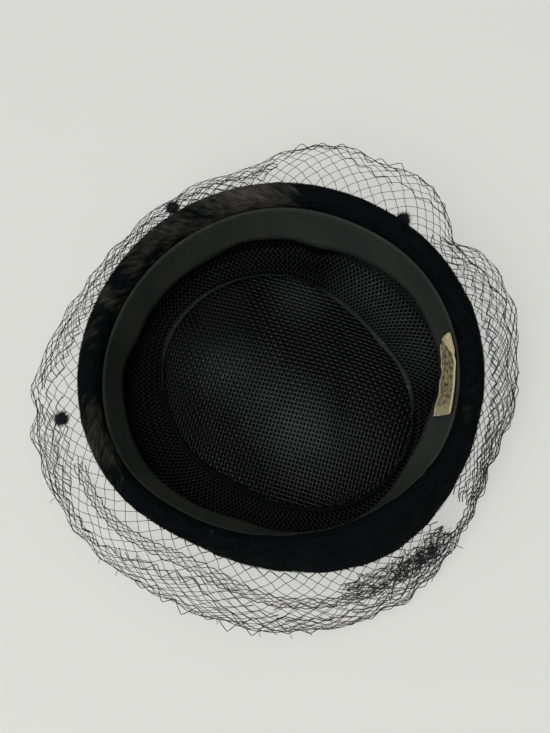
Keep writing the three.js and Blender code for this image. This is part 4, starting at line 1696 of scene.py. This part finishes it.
# %% Dots
DOT_DIAMETER = 0.0078
DOT_HEIGHT = 0.0056
DOT_CORE = 0.70
DOT_LUMPS = 0.14
LUMP_COUNT = 7
LUMP_PITCH = 4.5
DOT_FUZZ = {"Fibres": 4.6e6, "Length": 0.0024, "Radius": 0.00017, "Rise": 1.0, "Seed": 3}
VEIL_WALL = 0.001
COARSE_COLUMNS = 30
COARSE_ROWS = 5
COARSE_PHASE = 5
# Column of the coarse net's knot that the strand leaves, the way it turns, and the share of its length
DOTS = {"veil_dot_1": (15, 1, 0.68), "veil_dot_2": (10, -1, 0.7), "veil_dot_3": (4, -1, 0.28)}


def dot_place(column, turn, share):
    """The ball's middle and the way out of the net, on a strand of the CAD's coarse net."""
    knot_turn = COARSE_PHASE + 360 * np.array([column, column + turn / 2]) / COARSE_COLUMNS
    knots = veil_at(knot_turn, np.array([0, 1 / COARSE_ROWS]), puffs=(), rumple=0)
    azimuth = np.array([knot_turn[0] + (knot_turn[1] - knot_turn[0]) * share])
    normal = veil_normal(azimuth, np.array([0.5 / COARSE_ROWS]))[0]
    strand = knots[0] + (knots[1] - knots[0]) * share
    return strand + normal * (DOT_HEIGHT / 2 + VEIL_WALL / 2 + SEAT), normal


def make_dot(name, place, normal, seed):
    work = bmesh.new()
    bmesh.ops.create_icosphere(work, subdivisions=4, radius=0.5)
    lumps = np.random.default_rng(seed).normal(0, 1, (LUMP_COUNT, 3))
    turned = Vector(normal).to_track_quat("Z", "Y")
    for vertex in work.verts:
        lump = sum(math.sin(LUMP_PITCH * vertex.co.dot(Vector(way))) for way in lumps) / LUMP_COUNT
        size = Vector((DOT_DIAMETER, DOT_DIAMETER, DOT_HEIGHT)) * (DOT_CORE + DOT_LUMPS * lump)
        vertex.co = turned @ (vertex.co * size) + Vector(place)
    mesh = bpy.data.meshes.new(name)
    work.to_mesh(mesh)
    work.free()
    mesh.shade_smooth()
    return grow(name + "_ball", FUZZ, link_piece(name, mesh), DOT_FUZZ)


FUZZ = pile_tree(CHENILLE, DOT_FUZZ, keep_cloth=True)
for seed, (name, spot) in enumerate(DOTS.items(), 60):
    dress(make_dot(name, *dot_place(*spot), seed), "chenille", name)

# %% [markdown]
# ## Floor, light and hand-over
# The hat lies on a pale sheet. A window in front of it and a large pale ceiling give soft light, and
# the sky fills the shadows. The sheet glows faintly too, as a paper lit from behind does, because the
# photograph's shadows under the net are almost as pale as the floor round it.

# %% Floor and light
FLOOR_SIZE = 3.0
FLOOR_PALES = ((0.240, 0.240, 0.228, 1), (0.262, 0.262, 0.250, 1))
# Painted light: the sheet glows, so the shadows round the hat and under the net stay pale
FLOOR_PAINTED_GLOW = {"Emission Color": (1.0, 1.0, 0.95, 1), "Emission Strength": 0.46}
# Name, place and diameter in metres, and watts
LIGHTS = (("window", (-0.42, -0.82, 1.22), 1.0, 8.8), ("ceiling", (-0.10, -0.10, 2.1), 2.2, 19))
LIGHT_AIM = (0, 0, 0.03)
SKY_COLOUR = (0.97, 1.0, 0.98, 1)
SKY_STRENGTH = 0.36


def make_floor():
    material, bench, place = start_finish("pale floor")
    mottle = bench.noise(place, 6, 2.0)
    end_finish(bench, bench.colours(mottle, *FLOOR_PALES), 0.9, fixed=FLOOR_PAINTED_GLOW)
    mesh = bpy.data.meshes.new("floor")
    half = FLOOR_SIZE / 2
    corners = [(-half, -half, 0), (half, -half, 0), (half, half, 0), (-half, half, 0)]
    mesh.from_pydata(corners, [], [(0, 1, 2, 3)])
    mesh.materials.append(material)
    floor = link_piece("floor", mesh)


def add_light(name, place, size, watts):
    data = bpy.data.lights.new(name, "AREA")
    data.shape = "DISK"
    data.size = size
    data.energy = watts
    light = bpy.data.objects.new(name, data)
    light.location = place
    light.rotation_mode = "QUATERNION"
    light.rotation_quaternion = (Vector(place) - Vector(LIGHT_AIM)).to_track_quat("Z", "Y")
    bpy.context.collection.objects.link(light)


def set_sky(colour, strength):
    world = bpy.data.worlds.new("sky")
    world.use_nodes = True
    bench = Bench(world.node_tree)
    bench.tree.nodes.clear()
    sky = bench.node("ShaderNodeBackground", None, {"Color": colour, "Strength": strength})
    bench.node("ShaderNodeOutputWorld", None, {"Surface": sky})
    bpy.context.scene.world = world


make_floor()
for light in LIGHTS:
    add_light(*light)
set_sky(SKY_COLOUR, SKY_STRENGTH)
bpy.context.scene.view_settings.view_transform = "Standard"
print("Lights:", [name for name, *_ in LIGHTS])
